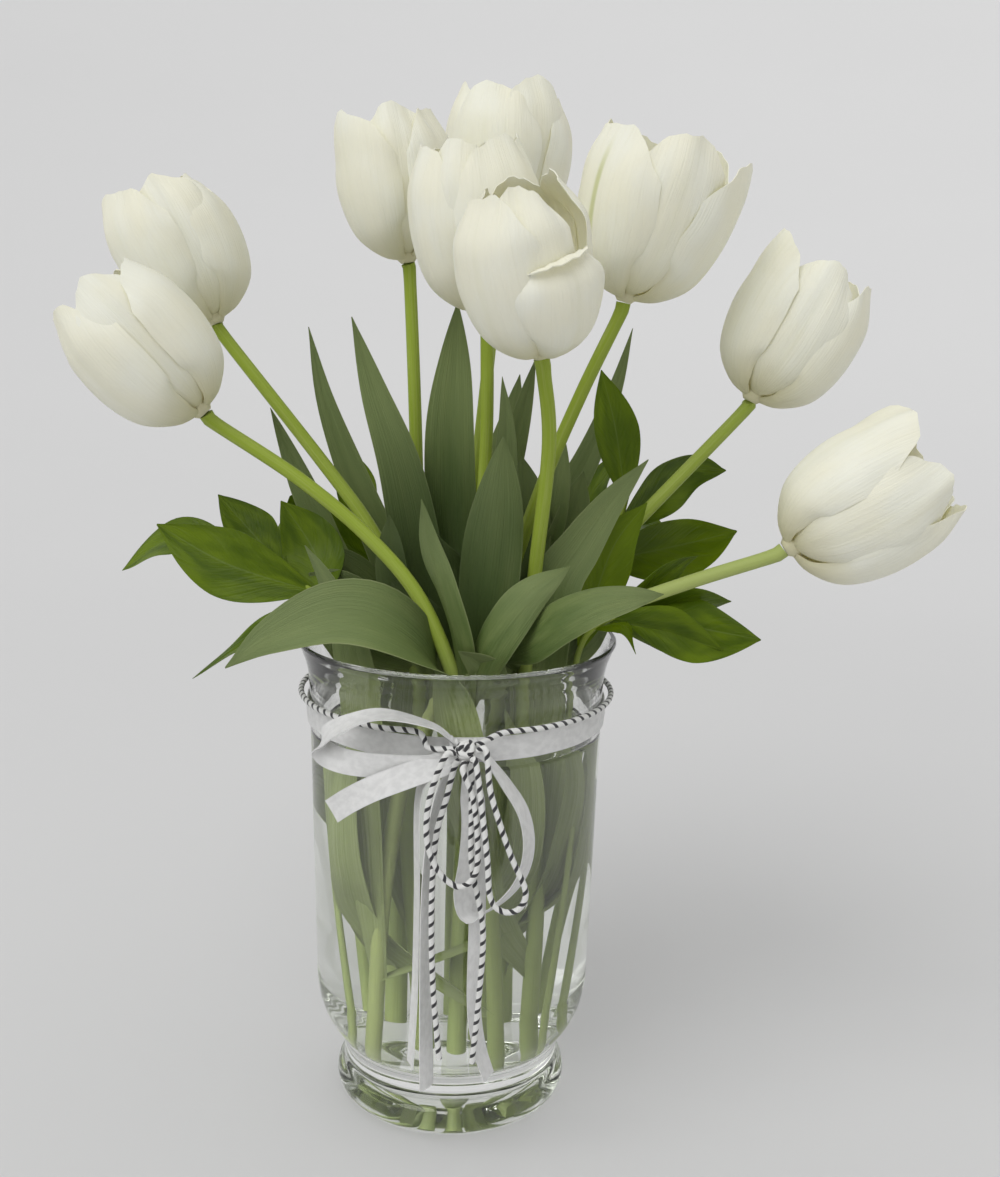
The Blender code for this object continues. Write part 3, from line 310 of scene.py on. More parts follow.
BODY_TOP_RADIUS = 60.3  # of the glass at the neck
FIRST_TAIL = 3  # of the strips
LEFT_TAIL = 4  # it shows its left face
TAIL_NARROW = 0.8  # how far the tails fold in on themselves
BAND_RADIUS = BODY_TOP_RADIUS + RIBBON_THICK + 2 * GAP + TWINE_RADIUS + 0.9  # of the twine round the neck
TWINE_PITCH = 4.8  # length of one turn of its strands
TWINE_LOBES = 4
TWINE_STEP = 0.45  # between the rings of a strand
TWINE_KNOT_TURNS = (  # lean, which way it leans, radius, and how far it is shifted along its axis
    (0.3, 0.2, 2.7, -0.9), (1.3, 0.9, 2.6, 0.3), (0.9, 2.2, 2.8, 0.5), (1.5, 3.0, 2.2, 0.0))

# --- stage ----------------------------------------------------------------------------------------
CAMERA_AT = (17, -550, 336)
CAMERA_DOWN = 12.0  # degrees
CAMERA_ROLL = 1.3
LENS = 42.27  # on a sensor of 36
FLOOR = ((0, -0.1), (600, -0.1), (1300, 0), (2200, 180), (3200, 700), (4200, 1400), (5400, 2300))
FLOOR_TURNS = 96
WINDOW_FROM = (-0.75, -1.0, 1.4)
WINDOW_ANGLE = 50  # degrees that the soft light spans


# --- curves ---------------------------------------------------------------------------------------
def smooth(points, steps=12):
    """A smooth curve (Catmull-Rom) through the points, as an array."""
    knots = np.array([tuple(p) for p in points], float)
    knots = np.vstack([2 * knots[0] - knots[1], knots, 2 * knots[-1] - knots[-2]])
    a, b, c, d = knots[:-3, None], knots[1:-2, None], knots[2:-1, None], knots[3:, None]
    t = (np.arange(steps) / steps)[None, :, None]
    curve = 0.5 * (2 * b + (c - a) * t + (2 * a - 5 * b + 4 * c - d) * t ** 2
                   + (3 * b - a - 3 * c + d) * t ** 3)
    return np.vstack([curve.reshape(-1, knots.shape[1]), knots[-2]])


def travelled(curve):
    """Distance along the curve at each of its points."""
    return np.concatenate([[0.0], np.cumsum(np.linalg.norm(np.diff(curve, axis=0), axis=1))])


def at_shares(curve, shares):
    """Points of the curve at shares of its length."""
    length = travelled(curve)
    return np.stack([np.interp(shares * length[-1], length, curve[:, k]) for k in range(curve.shape[1])], 1)


def even(curve, count):
    """Points that cut the curve in count steps of one length."""
    return at_shares(curve, np.linspace(0, 1, count + 1))


def unit(vectors):
    return vectors / np.maximum(np.linalg.norm(vectors, axis=-1, keepdims=True), 1e-9)


def ways(points):
    """The direction of the curve at each point."""
    ahead = np.vstack([points[1:], points[-1:]])
    behind = np.vstack([points[:1], points[:-1]])
    return unit(ahead - behind)


def step_up(values, low, high):
    """0 below low, 1 above high, and smooth between."""
    t = np.clip((values - low) / (high - low), 0, 1)
    return t * t * (3 - 2 * t)


# --- closed bodies --------------------------------------------------------------------------------
SHARP = 1.2  # edges with a greater angle, in radians, aren't smoothed


class Body:
    """Vertices, faces and a place on the surface for each vertex, gathered into one mesh."""

    def __init__(self):
        self.points, self.faces, self.places, self.count = [], [], [], 0

    def add(self, points, faces, places):
        self.points.append(points)
        self.places.append(places)
        self.faces.extend((np.array(faces) + self.count).tolist())
        self.count += len(points)

    def leaf_like(self, upper, lower, places):
        """A thin closed body between two like grids of points."""
        rows, cols = upper.shape[:2]
        index = np.arange(rows * cols).reshape(rows, cols)
        under = index + rows * cols

        def quads(a, b, c, d):
            return np.stack([a.ravel(), b.ravel(), c.ravel(), d.ravel()], 1)
        faces = [quads(index[:-1, :-1], index[:-1, 1:], index[1:, 1:], index[1:, :-1]),
                 quads(under[1:, :-1], under[1:, 1:], under[:-1, 1:], under[:-1, :-1]),
                 quads(index[:-1, 0], index[1:, 0], under[1:, 0], under[:-1, 0]),
                 quads(index[1:, -1], index[:-1, -1], under[:-1, -1], under[1:, -1]),
                 quads(index[0, 1:], index[0, :-1], under[0, :-1], under[0, 1:]),
                 quads(index[-1, :-1], index[-1, 1:], under[-1, 1:], under[-1, :-1])]
        places = places.reshape(-1, 3)
        self.add(np.vstack([upper.reshape(-1, 3), lower.reshape(-1, 3)]), np.vstack(faces),
                 np.vstack([places, places]))

    def skin(self, grid, thick, along, over, tone):
        """A thin body of the given thickness about a surface."""
        half = facing(grid) * (thick / 2)[..., None]
        shape = grid.shape[:2]
        self.leaf_like(grid + half, grid - half, together(shape, along, over, tone))

    def tube(self, rings, places):
        """A closed tube through rings of points."""
        rows, sides = rings.shape[:2]
        index = np.arange(rows * sides).reshape(rows, sides)
        turned = np.roll(index, -1, axis=1)
        faces = np.stack([index[:-1].ravel(), turned[:-1].ravel(), turned[1:].ravel(), index[1:].ravel()], 1)
        self.add(rings.reshape(-1, 3), faces, places.reshape(-1, 3))
        ends = [rings[0].mean(0), rings[-1].mean(0)]
        first = self.count - rows * sides
        self.points.append(np.array(ends))
        self.places.append(np.array([places[0].mean(0), places[-1].mean(0)]))
        low, high = self.count, self.count + 1
        for k in range(sides):
            self.faces.append([first + int(turned[0, k]), first + int(index[0, k]), low])
            self.faces.append([first + int(index[-1, k]), first + int(turned[-1, k]), high])
        self.count += 2

    def moved(self, matrix, shift):
        self.points = [points @ matrix.T + shift for points in self.points]

    def piece(self, name, finish, slot, *nodes):
        """The body as a piece of the scene, standing for the named nodes."""
        mesh = bpy.data.meshes.new(name)
        mesh.from_pydata((np.vstack(self.points) * MM).tolist(), [], self.faces)
        mesh.attributes.new("place", "FLOAT_VECTOR", "POINT").data.foreach_set(
            "vector", np.vstack(self.places).astype(np.float32).ravel())
        thing = shown(name, mesh, finish)
        mesh.set_sharp_from_angle(angle=SHARP)
        joined(thing, slot, *nodes)
        return thing


def together(shape, *numbers):
    """Three numbers for each point of a grid, as one array."""
    return np.stack([np.broadcast_to(number, shape) for number in numbers], -1)


def shown(name, mesh, finish):
    """The mesh as a smooth object of one finish."""
    mesh.shade_smooth()
    mesh.materials.append(finish.material)
    thing = bpy.data.objects.new(name, mesh)
    bpy.context.scene.collection.objects.link(thing)
    return thing


def joined(thing, slot, *nodes):
    """The object as a piece of the part, standing for the named nodes."""
    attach(thing, "root")
    if nodes:
        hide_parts(*nodes)


def spun(name, outline, turns, finish):
    """An object turned about Z from an outline of (radius, height), closed where that meets the axis."""
    bm = bmesh.new()
    rings = [[bm.verts.new((r * cos(tau * k / turns) * MM, r * sin(tau * k / turns) * MM, z * MM))
              for k in range(turns if r else 1)] for r, z in outline]
    for low, high in zip(rings, rings[1:]):
        for k in range(turns):
            corners = [ring[j % len(ring)] for ring, j in ((low, k - 1), (low, k), (high, k), (high, k - 1))]
            bm.faces.new(list(dict.fromkeys(corners)))
    bmesh.ops.recalc_face_normals(bm, faces=bm.faces)
    mesh = bpy.data.meshes.new(name)
    bm.to_mesh(mesh)
    bm.free()
    return shown(name, mesh, finish)


def blade(points, sides, widths, curls, across):
    """The middle surface of a blade along the points, and the way that its hollow side faces. Sides are its
    directions across, and curls the bend of each half."""
    way = ways(points)
    sides = unit(sides - way * (sides * way).sum(1, keepdims=True))
    face = np.cross(sides, way)
    bend = np.maximum(curls, 0.01)[:, None]
    reach = widths[:, None] / 2 / bend
    angle = bend * across[None, :]
    middle = (points[:, None] + sides[:, None] * (reach * np.sin(angle))[..., None]
              + face[:, None] * (reach * (1 - np.cos(angle)))[..., None])
    return middle, face[:, None] * np.cos(angle)[..., None] - sides[:, None] * np.sin(angle)[..., None]


def facing(grid):
    """The way that each point of a surface faces."""
    return unit(np.cross(np.gradient(grid, axis=1), np.gradient(grid, axis=0)))


def folded(grid, starts, radius, most):
    """The surface rolled back past a share of each column's length, by an angle at most."""
    grid, up = grid.copy(), -facing(grid)
    for k, start in enumerate(starts):
        row = int(start * (len(grid) - 1))
        first, way = grid[row, k].copy(), unit(grid[row, k] - grid[row - 1, k])
        run = travelled(grid[row:, k])
        turn = np.minimum(run / radius, most)
        rest = run - turn * radius
        ahead = radius * np.sin(turn) + rest * np.cos(turn)
        over = radius * (1 - np.cos(turn)) + rest * np.sin(turn)
        grid[row:, k] = first + way * ahead[:, None] + up[row, k] * over[:, None]
    return grid


def trimmed(grid, ends, rows):
    """The surface with each column cut at its own share of the length, and those shares."""
    old = np.linspace(0, 1, len(grid))
    shares = (1 - (1 - np.linspace(0, 1, rows)) ** 1.3)[:, None] * ends[None]
    columns = [np.stack([np.interp(shares[:, k], old, grid[:, k, axis]) for axis in range(3)], 1)
               for k in range(len(ends))]
    return np.stack(columns, 1), shares


def frames(points):
    """Two directions square to the curve, all along it, that don't spin."""
    way = ways(points)
    first = Vector(way[0]).orthogonal()
    across = [unit(np.array(first) - way[0] * np.dot(first, way[0]))]
    for w in way[1:]:
        turned = across[-1] - w * np.dot(across[-1], w)
        across.append(unit(turned))
    across = np.array(across)
    return across, np.cross(way, across)


def rings_round(points, radii, angle):
    """Rings of points about a curve, each radius at its own angle."""
    across, other = frames(points)
    return points[:, None] + radii[..., None] * (across[:, None] * np.cos(angle)[..., None]
                                                 + other[:, None] * np.sin(angle)[..., None])


def round_tube(body, points, radii, sides, tone=0.5):
    """A round tube; places hold its share of length, and where round it."""
    angle = np.arange(sides) / sides * tau
    length = travelled(points)
    shape = (len(points), sides)
    body.tube(rings_round(points, radii[:, None], angle),
              together(shape, (length / length[-1])[:, None], np.cos(angle), tone))


# --- finishes -------------------------------------------------------------------------------------
class Wire:
    """A number that varies over a surface, with arithmetic."""

    def __init__(self, finish, socket):
        self.finish = finish
        self.socket = socket

    def math(self, operation, *values):
        return self.finish.node("ShaderNodeMath", {"operation": operation}, dict(enumerate(values)))

    def __add__(self, other):
        return self.math("ADD", self, other)

    def __sub__(self, other):
        return self.math("SUBTRACT", self, other)

    def __rsub__(self, other):
        return self.math("SUBTRACT", other, self)

    def __mul__(self, other):
        return self.math("MULTIPLY", self, other)

    def __truediv__(self, other):
        return self.math("DIVIDE", self, other)

    def __pow__(self, other):
        return self.math("POWER", self, other)

    def __abs__(self):
        return self.math("ABSOLUTE", self)

    __radd__ = __add__
    __rmul__ = __mul__


class Finish:
    """One material and the nodes that vary it."""

    def __init__(self, name, colour, roughness, **fixed):
        self.material = bpy.data.materials.new(name)
        self.material.use_nodes = True
        self.tree = self.material.node_tree
        self.shader = self.tree.nodes["Principled BSDF"]
        self.fill(self.shader, {"Base Color": colour, "Roughness": roughness})
        self.fill(self.shader, {key.replace("_", " "): value for key, value in fixed.items()})

    def fill(self, node, values):
        for key, value in values.items():
            slot = node.inputs[key]
            if isinstance(value, Wire):
                self.tree.links.new(value.socket, slot)
            elif slot.type == "RGBA":
                slot.default_value = (*value[:3], 1.0)
            else:
                slot.default_value = value

    def node(self, kind, settings=None, values=None, out=0):
        made = self.tree.nodes.new(kind)
        for key, value in (settings or {}).items():
            setattr(made, key, value)
        self.fill(made, values or {})
        return Wire(self, made.outputs[out])

    def place(self):
        """Where on its leaf, petal or tube a point is, as three numbers."""
        return self.parts(self.node("ShaderNodeAttribute", {"attribute_name": "place"}, out="Vector"))

    def parts(self, vector):
        return [self.node("ShaderNodeSeparateXYZ", None, {"Vector": vector}, out=k) for k in range(3)]

    def vector(self, x, y, z):
        return self.node("ShaderNodeCombineXYZ", None, {"X": x, "Y": y, "Z": z})

    def spot(self):
        """The point in space, in metres."""
        return self.node("ShaderNodeTexCoord", out="Object")

    def height(self):
        return self.parts(self.spot())[2]

    def depth(self):
        """Painted shade: 1 at the heart of the bunch just above the rim, where the leaves stand in shade, and
        0 at its outside and up among the blooms.
        """
        x, y, z = self.parts(self.spot())
        inside = self.rise((x * x + y * y) ** 0.5, 0.022, 0.056, 1.0, 0.0)
        return inside * self.rise(z, 0.185, 0.205) * self.rise(z, 0.23, 0.31, 1.0, 0.0)

    def noise(self, where, scale, detail=2.0, roughness=0.5):
        values = {"Vector": where, "Scale": scale, "Detail": detail, "Roughness": roughness}
        return self.node("ShaderNodeTexNoise", None, values, out="Fac")

    def rise(self, value, low, high, start=0.0, end=1.0):
        """start where value is below low, end where it is above high, and smooth between."""
        return self.node("ShaderNodeMapRange", {"interpolation_type": "SMOOTHSTEP"},
                         {"Value": value, "From Min": low, "From Max": high, "To Min": start, "To Max": end})

    def mix(self, share, first, second):
        return self.node("ShaderNodeMix", {"data_type": "RGBA"}, {0: share, 6: first, 7: second}, out=2)

    def bump(self, height, depth, strength=1.0):
        return self.node("ShaderNodeBump", None, {"Height": height, "Distance": depth, "Strength": strength})

    def let_through(self, share, colour):
        """A share of the light shines through."""
        through = self.node("ShaderNodeBsdfTranslucent", None, {"Color": colour})
        solid = Wire(self, self.shader.outputs[0])
        whole = self.node("ShaderNodeMixShader", None, {0: share, 1: solid, 2: through})
        self.fill(self.tree.nodes["Material Output"], {"Surface": whole})

    def give(self, **values):
        self.fill(self.shader, {key.replace("_", " "): value for key, value in values.items()})


def glass_finish():
    f = Finish("clear_glass", (0.985, 0.99, 0.98), 0.0, IOR=1.5, Transmission_Weight=1.0)
    f.give(Normal=f.bump(f.noise(f.spot(), 24, 1), 0.0006, 0.25))
    f.give(Roughness=f.rise(f.noise(f.spot(), 60, 3), 0.5, 0.8, 0.0, 0.02))
    return f


def water_finish():
    f = Finish("still_water", (0.97, 0.985, 0.955), 0.0, IOR=1.33, Transmission_Weight=1.0)
    f.give(Normal=f.bump(f.noise(f.spot(), 30, 1), 0.0004, 0.15))
    return f


def petal_finish():
    f = Finish("white_petal", (0.87, 0.88, 0.78), 0.55, Specular_IOR_Level=0.3)
    along, across, tone = f.place()
    veins = f.noise(f.vector(along * 3, across * 26, tone * 9), 1.0, 3, 0.6)
    patches = f.noise(f.vector(along * 2.5, across * 1.6, tone * 23), 1.0, 2)
    colour = f.mix(f.rise(patches, 0.35, 0.7), (0.96, 0.95, 0.82), (0.96, 0.965, 0.88))
    colour = f.mix(f.rise(veins, 0.45, 0.75, 0.0, 0.4), colour, (0.91, 0.90, 0.77))
    line = f.rise(abs(across), 0.015, 0.085, 1.0, 0.0)
    line = line * f.rise(along, 0.15, 0.4) * f.rise(along, 0.7, 0.95, 1.0, 0.0)
    colour = f.mix(line * f.rise(tone, 0.6, 1.0, 0.04, 0.75), colour, (0.60, 0.64, 0.28))
    colour = f.mix(f.rise(along, 0.02, 0.40, 0.9, 0.0), colour, (0.80, 0.76, 0.50))
    f.give(Base_Color=colour)
    f.give(Roughness=f.rise(veins, 0.3, 0.7, 0.46, 0.62))
    f.give(Normal=f.bump(veins, 0.0007, 0.5))
    f.let_through(0.2, (0.98, 0.96, 0.85))
    return f


def heart_finish():
    f = Finish("flower_heart", (0.62, 0.60, 0.25), 0.6)
    f.give(Base_Color=f.mix(f.noise(f.spot(), 900, 2), (0.66, 0.62, 0.22), (0.50, 0.55, 0.22)))
    return f


def stem_finish():
    f = Finish("tulip_stem", (0.30, 0.39, 0.05), 0.42, Specular_IOR_Level=0.15)
    along, round_it, tone = f.place()
    streaks = f.noise(f.vector(along * 9, round_it * 7, tone * 5), 1.0, 4, 0.6)
    colour = f.mix(f.rise(f.height(), 0.165, 0.215), (0.40, 0.49, 0.17), (0.28, 0.37, 0.04))
    colour = f.mix(f.rise(streaks, 0.4, 0.75, 0.0, 0.5), colour, (0.40, 0.46, 0.14))
    colour = f.mix(f.rise(tone, 0.85, 1.0, 0.0, 0.6), colour, (0.44, 0.50, 0.20))
    f.give(Base_Color=colour)
    f.give(Roughness=f.rise(streaks, 0.3, 0.7, 0.36, 0.5))
    f.give(Normal=f.bump(streaks, 0.0005, 0.5))
    return f


def tulip_leaf_finish():
    f = Finish("tulip_leaf", (0.15, 0.21, 0.08), 0.5, Specular_IOR_Level=0.25)
    along, across, tone = f.place()
    veins = f.noise(f.vector(along * 2, across * 20, tone * 11), 1.0, 3, 0.6)
    patches = f.noise(f.vector(along * 4, across * 2, tone * 17), 1.0, 3)
    colour = f.mix(f.rise(patches, 0.3, 0.75), (0.10, 0.155, 0.038), (0.175, 0.23, 0.07))
    colour = f.mix(f.rise(veins, 0.45, 0.8, 0.0, 0.5), colour, (0.18, 0.24, 0.09))
    # painted shade and light: the leaves go darker at the root, deep in the bunch, and lighter towards the
    # tip
    colour = f.mix(f.rise(along, 0.4, 0.9, 0.0, 0.6), colour, (0.27, 0.33, 0.14))
    colour = f.mix(f.rise(abs(across), 0.95, 0.995, 0.0, 0.55), colour, (0.32, 0.36, 0.17))
    # painted shade: the leaves go dark towards the heart of the bunch
    colour = f.mix(f.depth() * 0.8, colour, (0.03, 0.055, 0.01))
    wet = f.mix(f.rise(veins, 0.35, 0.7), (0.36, 0.44, 0.15), (0.52, 0.60, 0.28))
    colour = f.mix(f.rise(f.height(), 0.175, 0.202, 0.9, 0.0), colour, wet)
    f.give(Base_Color=colour)
    f.give(Roughness=f.rise(veins, 0.3, 0.7, 0.42, 0.58))
    f.give(Normal=f.bump(veins, 0.0008, 0.7))
    f.let_through(0.15, (0.30, 0.42, 0.04))
    return f


def sprig_leaf_finish():
    f = Finish("sprig_leaf", (0.06, 0.12, 0.01), 0.3, Specular_IOR_Level=0.15)
    along, across, tone = f.place()
    side_veins = f.noise(f.vector(along * 22 - abs(across) * 8, abs(across) * 1.5, tone * 7), 1.0, 2)
    patches = f.noise(f.vector(along * 3, across * 2, tone * 13), 1.0, 3)
    colour = f.mix(f.rise(patches, 0.3, 0.75), (0.07, 0.12, 0.005), (0.15, 0.225, 0.008))
    colour = f.mix(f.rise(tone, 0.6, 1.0, 0.0, 0.75), colour, (0.16, 0.24, 0.003))
    colour = f.mix(f.rise(side_veins, 0.5, 0.8, 0.0, 0.35), colour, (0.15, 0.21, 0.03))
    colour = f.mix(f.rise(abs(across), 0.0, 0.05, 0.5, 0.0), colour, (0.18, 0.25, 0.06))
    f.give(Base_Color=colour)
    f.give(Roughness=f.rise(side_veins, 0.3, 0.7, 0.26, 0.38))
    f.give(Normal=f.bump(side_veins, 0.0008, 0.5))
    f.let_through(0.15, (0.22, 0.36, 0.01))
    return f


def satin_finish():
    f = Finish("white_satin", (0.80, 0.80, 0.79), 0.32, Anisotropic=0.6, Sheen_Weight=0.2,
               Sheen_Roughness=0.3)
    along, across, tone = f.place()
    where = f.vector(along * 4, across * 9, 0.0)
    threads = f.node("ShaderNodeTexWave", {"wave_type": "BANDS", "bands_direction": "Y"},
                     {"Vector": where, "Scale": 2.0, "Distortion": 1.5, "Detail": 2.0}, out="Fac")
    soft = f.noise(f.vector(along * 30, across * 2, tone), 1.0, 2)
    colour = f.mix(f.rise(soft, 0.3, 0.7), (0.76, 0.76, 0.75), (0.86, 0.86, 0.85))
    colour = f.mix(f.rise(abs(across), 0.9, 0.97, 0.0, 0.4), colour, (0.66, 0.66, 0.65))
    f.give(Base_Color=colour)
    f.give(Roughness=f.rise(threads, 0.2, 0.8, 0.28, 0.4))
    f.give(Normal=f.bump(threads, 0.00015, 0.4))
    return f


def twine_finish():
    f = Finish("bakers_twine", (0.8, 0.8, 0.8), 0.85, Sheen_Weight=0.3, Sheen_Roughness=0.5)
    turns, east, north = f.place()
    phase = f.node("ShaderNodeMath", {"operation": "ARCTAN2"}, {0: north, 1: east}) / tau - turns
    phase = f.node("ShaderNodeMath", {"operation": "FRACT"}, {0: phase + 100.5})
    dark = f.rise(abs(phase - 0.5), 0.145, 0.185, 1.0, 0.0)
    fibres = f.noise(f.vector(turns * 9, phase * 30, 0.0), 1.0, 3, 0.7)
    white = f.mix(fibres, (0.72, 0.72, 0.70), (0.88, 0.88, 0.86))
    f.give(Base_Color=f.mix(dark, white, (0.03, 0.03, 0.033)))
    f.give(Normal=f.bump(fibres, 0.0003, 0.7))
    f.give(Roughness=f.rise(fibres, 0.3, 0.7, 0.78, 0.92))
    return f


def floor_finish():
    f = Finish("pale_floor", (0.68, 0.68, 0.68), 0.9, Specular_IOR_Level=0.1)
    f.give(Base_Color=f.mix(f.noise(f.spot(), 3, 2), (0.673, 0.673, 0.673), (0.687, 0.687, 0.687)))
    return f


# --- stage ----------------------------------------------------------------------------------------
def make_camera():
    pitch, roll = radians(CAMERA_DOWN), radians(CAMERA_ROLL)
    right = Vector((1, 0, 0))
    up = Vector((0, sin(pitch), cos(pitch)))
    ahead = Vector((0, cos(pitch), -sin(pitch)))
    level = right * cos(roll) + up * sin(roll)
    top = up * cos(roll) - right * sin(roll)
    turned = Matrix((level, top, -ahead)).transposed().to_4x4()
    turned.translation = Vector(CAMERA_AT) * MM
    lens = bpy.data.cameras.new("camera")
    lens.sensor_width = 36
    lens.lens = LENS
    camera = bpy.data.objects.new("camera", lens)
    camera.matrix_world = turned
    bpy.context.scene.collection.objects.link(camera)
    bpy.context.scene.camera = camera


def make_floor(finish):
    """A round pale floor that sweeps up into a low wall."""
    spun("floor", smooth(FLOOR, 10), FLOOR_TURNS, finish)


def make_studio():
    """Even white light from all round and one wide soft window, left and in front."""
    scene = bpy.context.scene
    scene.view_settings.view_transform = "Standard"
    scene.cycles.max_bounces = scene.cycles.transmission_bounces = scene.cycles.glossy_bounces = 32
    scene.cycles.diffuse_bounces = 16
    scene.world = bpy.data.worlds.new("studio")
    scene.world.use_nodes = True
    room = scene.world.node_tree.nodes["Background"]
    room.inputs["Color"].default_value = (1.0, 1.0, 1.0, 1)
    room.inputs["Strength"].default_value = 0.60
    lamp = bpy.data.lights.new("window", "SUN")
    lamp.angle = radians(WINDOW_ANGLE)
    lamp.energy = 1.35
    light = bpy.data.objects.new("window", lamp)
    light.rotation_euler = (-Vector(WINDOW_FROM)).to_track_quat("-Z", "Y").to_euler()
    scene.collection.objects.link(light)


# --- twine ----------------------------------------------------------------------------------------
def leaving(end):
    """The first two points of a strand that leaves the twine's knot straight."""
    way = Vector(TWINE_ENDS[end]).normalized()
    return [TWINE_KNOT + way * (TWINE_KNOT_RADIUS + GAP + 0.1), TWINE_KNOT + way * (TWINE_KNOT_RADIUS + 4.0)]


def band_middle():
    """The twine's run round the neck, and under the ribbon's left loop to the knot."""
    first, last = -pi * 0.40, pi * 1.44
    around = [Vector((BAND_RADIUS * cos(a), BAND_RADIUS * sin(a), TWINE_HEIGHT))
              for a in (first + (last - first) * k / 24 for k in range(25))]
    return [*around, Vector((-8, -66.0, 172.8))]


def strand_path(out, middle, back):
    """A strand's middle line, from the knot and back to it or to its bare end."""
    end = leaving(back)[::-1] if back else []
    curve = smooth([*leaving(out), *middle, *end])
    return even(curve, round(travelled(curve)[-1] / TWINE_STEP))


def strand(body, path):
    """Twine along the path: four strands laid round each other."""
    sides = 6 * TWINE_LOBES
    angle = np.arange(sides)[None] / sides * tau
    turns = (travelled(path) / TWINE_PITCH)[:, None]
    lobes = np.sqrt(np.abs(np.cos(TWINE_LOBES / 2 * (angle - turns * tau))))
    radius = TWINE_RADIUS * (0.80 + 0.20 * lobes)
    body.tube(rings_round(path, radius, angle), together(radius.shape, turns, np.cos(angle), np.sin(angle)))


def make_twine(finish):
    knot = Body()
    for tilt, turn, radius, shift in TWINE_KNOT_TURNS:
        up = Vector((sin(tilt) * cos(turn), -sin(tilt) * sin(turn), cos(tilt)))
        first = up.orthogonal().normalized()
        second = up.cross(first)
        ring = [TWINE_KNOT + up * shift + radius * (first * cos(a) + second * sin(a))
                for a in (tau * k / 40 for k in range(41))]
        strand(knot, np.array([tuple(p) for p in ring]))
    knot = knot.piece("twine_bow_knot", finish, "twine", "twine_knot")
    routes = {"twine_band": ("band_right", band_middle(), "band_left")} | TWINE_ROUTES
    for node, (out, middle, back) in routes.items():
        path = strand_path(out, middle, back)
        body = Body()
        strand(body, path)
        piece = body.piece(node.replace("twine", "cotton"), finish, "twine", node)
        "taut" if node == "twine_band" else "hanging"
        [knot] if node == "twine_band" else ()


# --- ribbon ---------------------------------------------------------------------------------------
RIBBON_ACROSS = np.linspace(-1, 1, 9)


def ribbon_run(body, points, sides, widths, loose, tone):
    """Ribbon along the points, lifted off its plain surface by loose. Returns its length."""
    grid, up = blade(points, sides, widths, np.full(len(points), 0.12), RIBBON_ACROSS)
    grid = grid + up * loose[..., None]
    run = travelled(points)
    body.skin(grid, np.full(grid.shape[:2], 0.4), (run / 100)[:, None], RIBBON_ACROSS[None], tone)
    return run[-1]


def ribbon_band(body):
    """The ribbon round the neck."""
    radius = (BODY_TOP_RADIUS + GAP) / cos(pi / BAND_TURNS) + RIBBON_THICK / 2
    turn = np.linspace(-pi / 2 - 0.02, 1.5 * pi + 0.02, 240)
    ring = np.stack([radius * np.cos(turn), radius * np.sin(turn), np.full(240, RIBBON_HEIGHT)], 1)
    sides, widths = np.tile((0.0, 0.0, 1.0), (240, 1)), np.full(240, RIBBON_WIDTH)
    creases = 0.10 * np.sin(turn * 17)[:, None] * np.cos(RIBBON_ACROSS * 4)[None] - 0.1
    return ribbon_run(body, ring, sides, widths, creases, 0.2)


def ribbon_strip(body, k):
    """A loop or a tail of the bow, gathered where it leaves the knot."""
    route, side_root, side_tip = RIBBON_STRIPS[k]
    shares = np.linspace(0, 1, 101)
    points = even(smooth(route), 100)
    sides = unit(np.outer(1 - shares, side_root) + np.outer(shares, side_tip))
    if k == LEFT_TAIL:
        sides[:, 0] *= -1
    widths = RIBBON_WIDTH * (PINCH + (1 - PINCH) * step_up(shares, 0.0, 0.14))
    if k >= FIRST_TAIL:
        widths = widths * TAIL_NARROW
    comes_back = np.linalg.norm(points[-1] - points[0]) < 8
    if comes_back:
        widths = widths * (PINCH + (1 - PINCH) * step_up(1 - shares, 0.0, 0.10))
    loose = 0.3 * np.sin(shares * 11 + 2 * k)[:, None] * (1 - RIBBON_ACROSS ** 2)[None]
    gather = 0.5 * np.cos(RIBBON_ACROSS * 7)[None] * (1 - step_up(shares, 0.02, 0.16))[:, None]
    return ribbon_run(body, points, sides, widths, loose + gather, 0.1 * k)


def ribbon_wrap(body, tilt, out):
    """One turn of the knot."""
    turn = np.linspace(0, tau, 60)
    loop = np.stack([KNOT.x + 3.0 * tilt + 2.4 * np.sin(tilt) * np.cos(turn),
                     KNOT.y + 2.5 * np.sin(turn) + 0.4 - out * 0.4,
                     KNOT.z + (3.9 - out) * np.cos(turn)], 1)
    sides, widths = np.tile((1.0, 0.0, tilt), (60, 1)), np.full(60, KNOT_WRAP_WIDTH)
    pleats = 0.35 * np.cos(RIBBON_ACROSS * 9)[None] * np.ones((60, 1))
    return ribbon_run(body, loop, sides, widths, pleats, 0.7)


def make_ribbon(finish):
    body = Body()
    length = ribbon_band(body)
    length += sum(ribbon_strip(body, k) for k in range(len(RIBBON_STRIPS)))
    length += sum(ribbon_wrap(body, tilt, out) for tilt, out in KNOT_WRAPS)
    piece = body.piece("satin_ribbon", finish, "white_satin", "ribbon")


# --- vase and water -------------------------------------------------------------------------------
def clear_piece(name, outline, finish, slot, node):
    """A turned piece that casts no shadow."""
    thing = spun(name, outline, VASE_TURNS, finish)
    thing.visible_shadow = False
    joined(thing, slot, node)


def make_vase(finish):
    outer = smooth(OUTER_WALL, 4)
    outer[:, 1] = np.maximum(outer[:, 1], 0.02)
    inner = smooth(INNER_WALL[:-1], 4)
    outline = [(0, PUNT), *outer, *RIM, *inner, (0, INNER_WALL[-1][1])]
    clear_piece("glass_vase", outline, finish, "clear_glass", "vase")


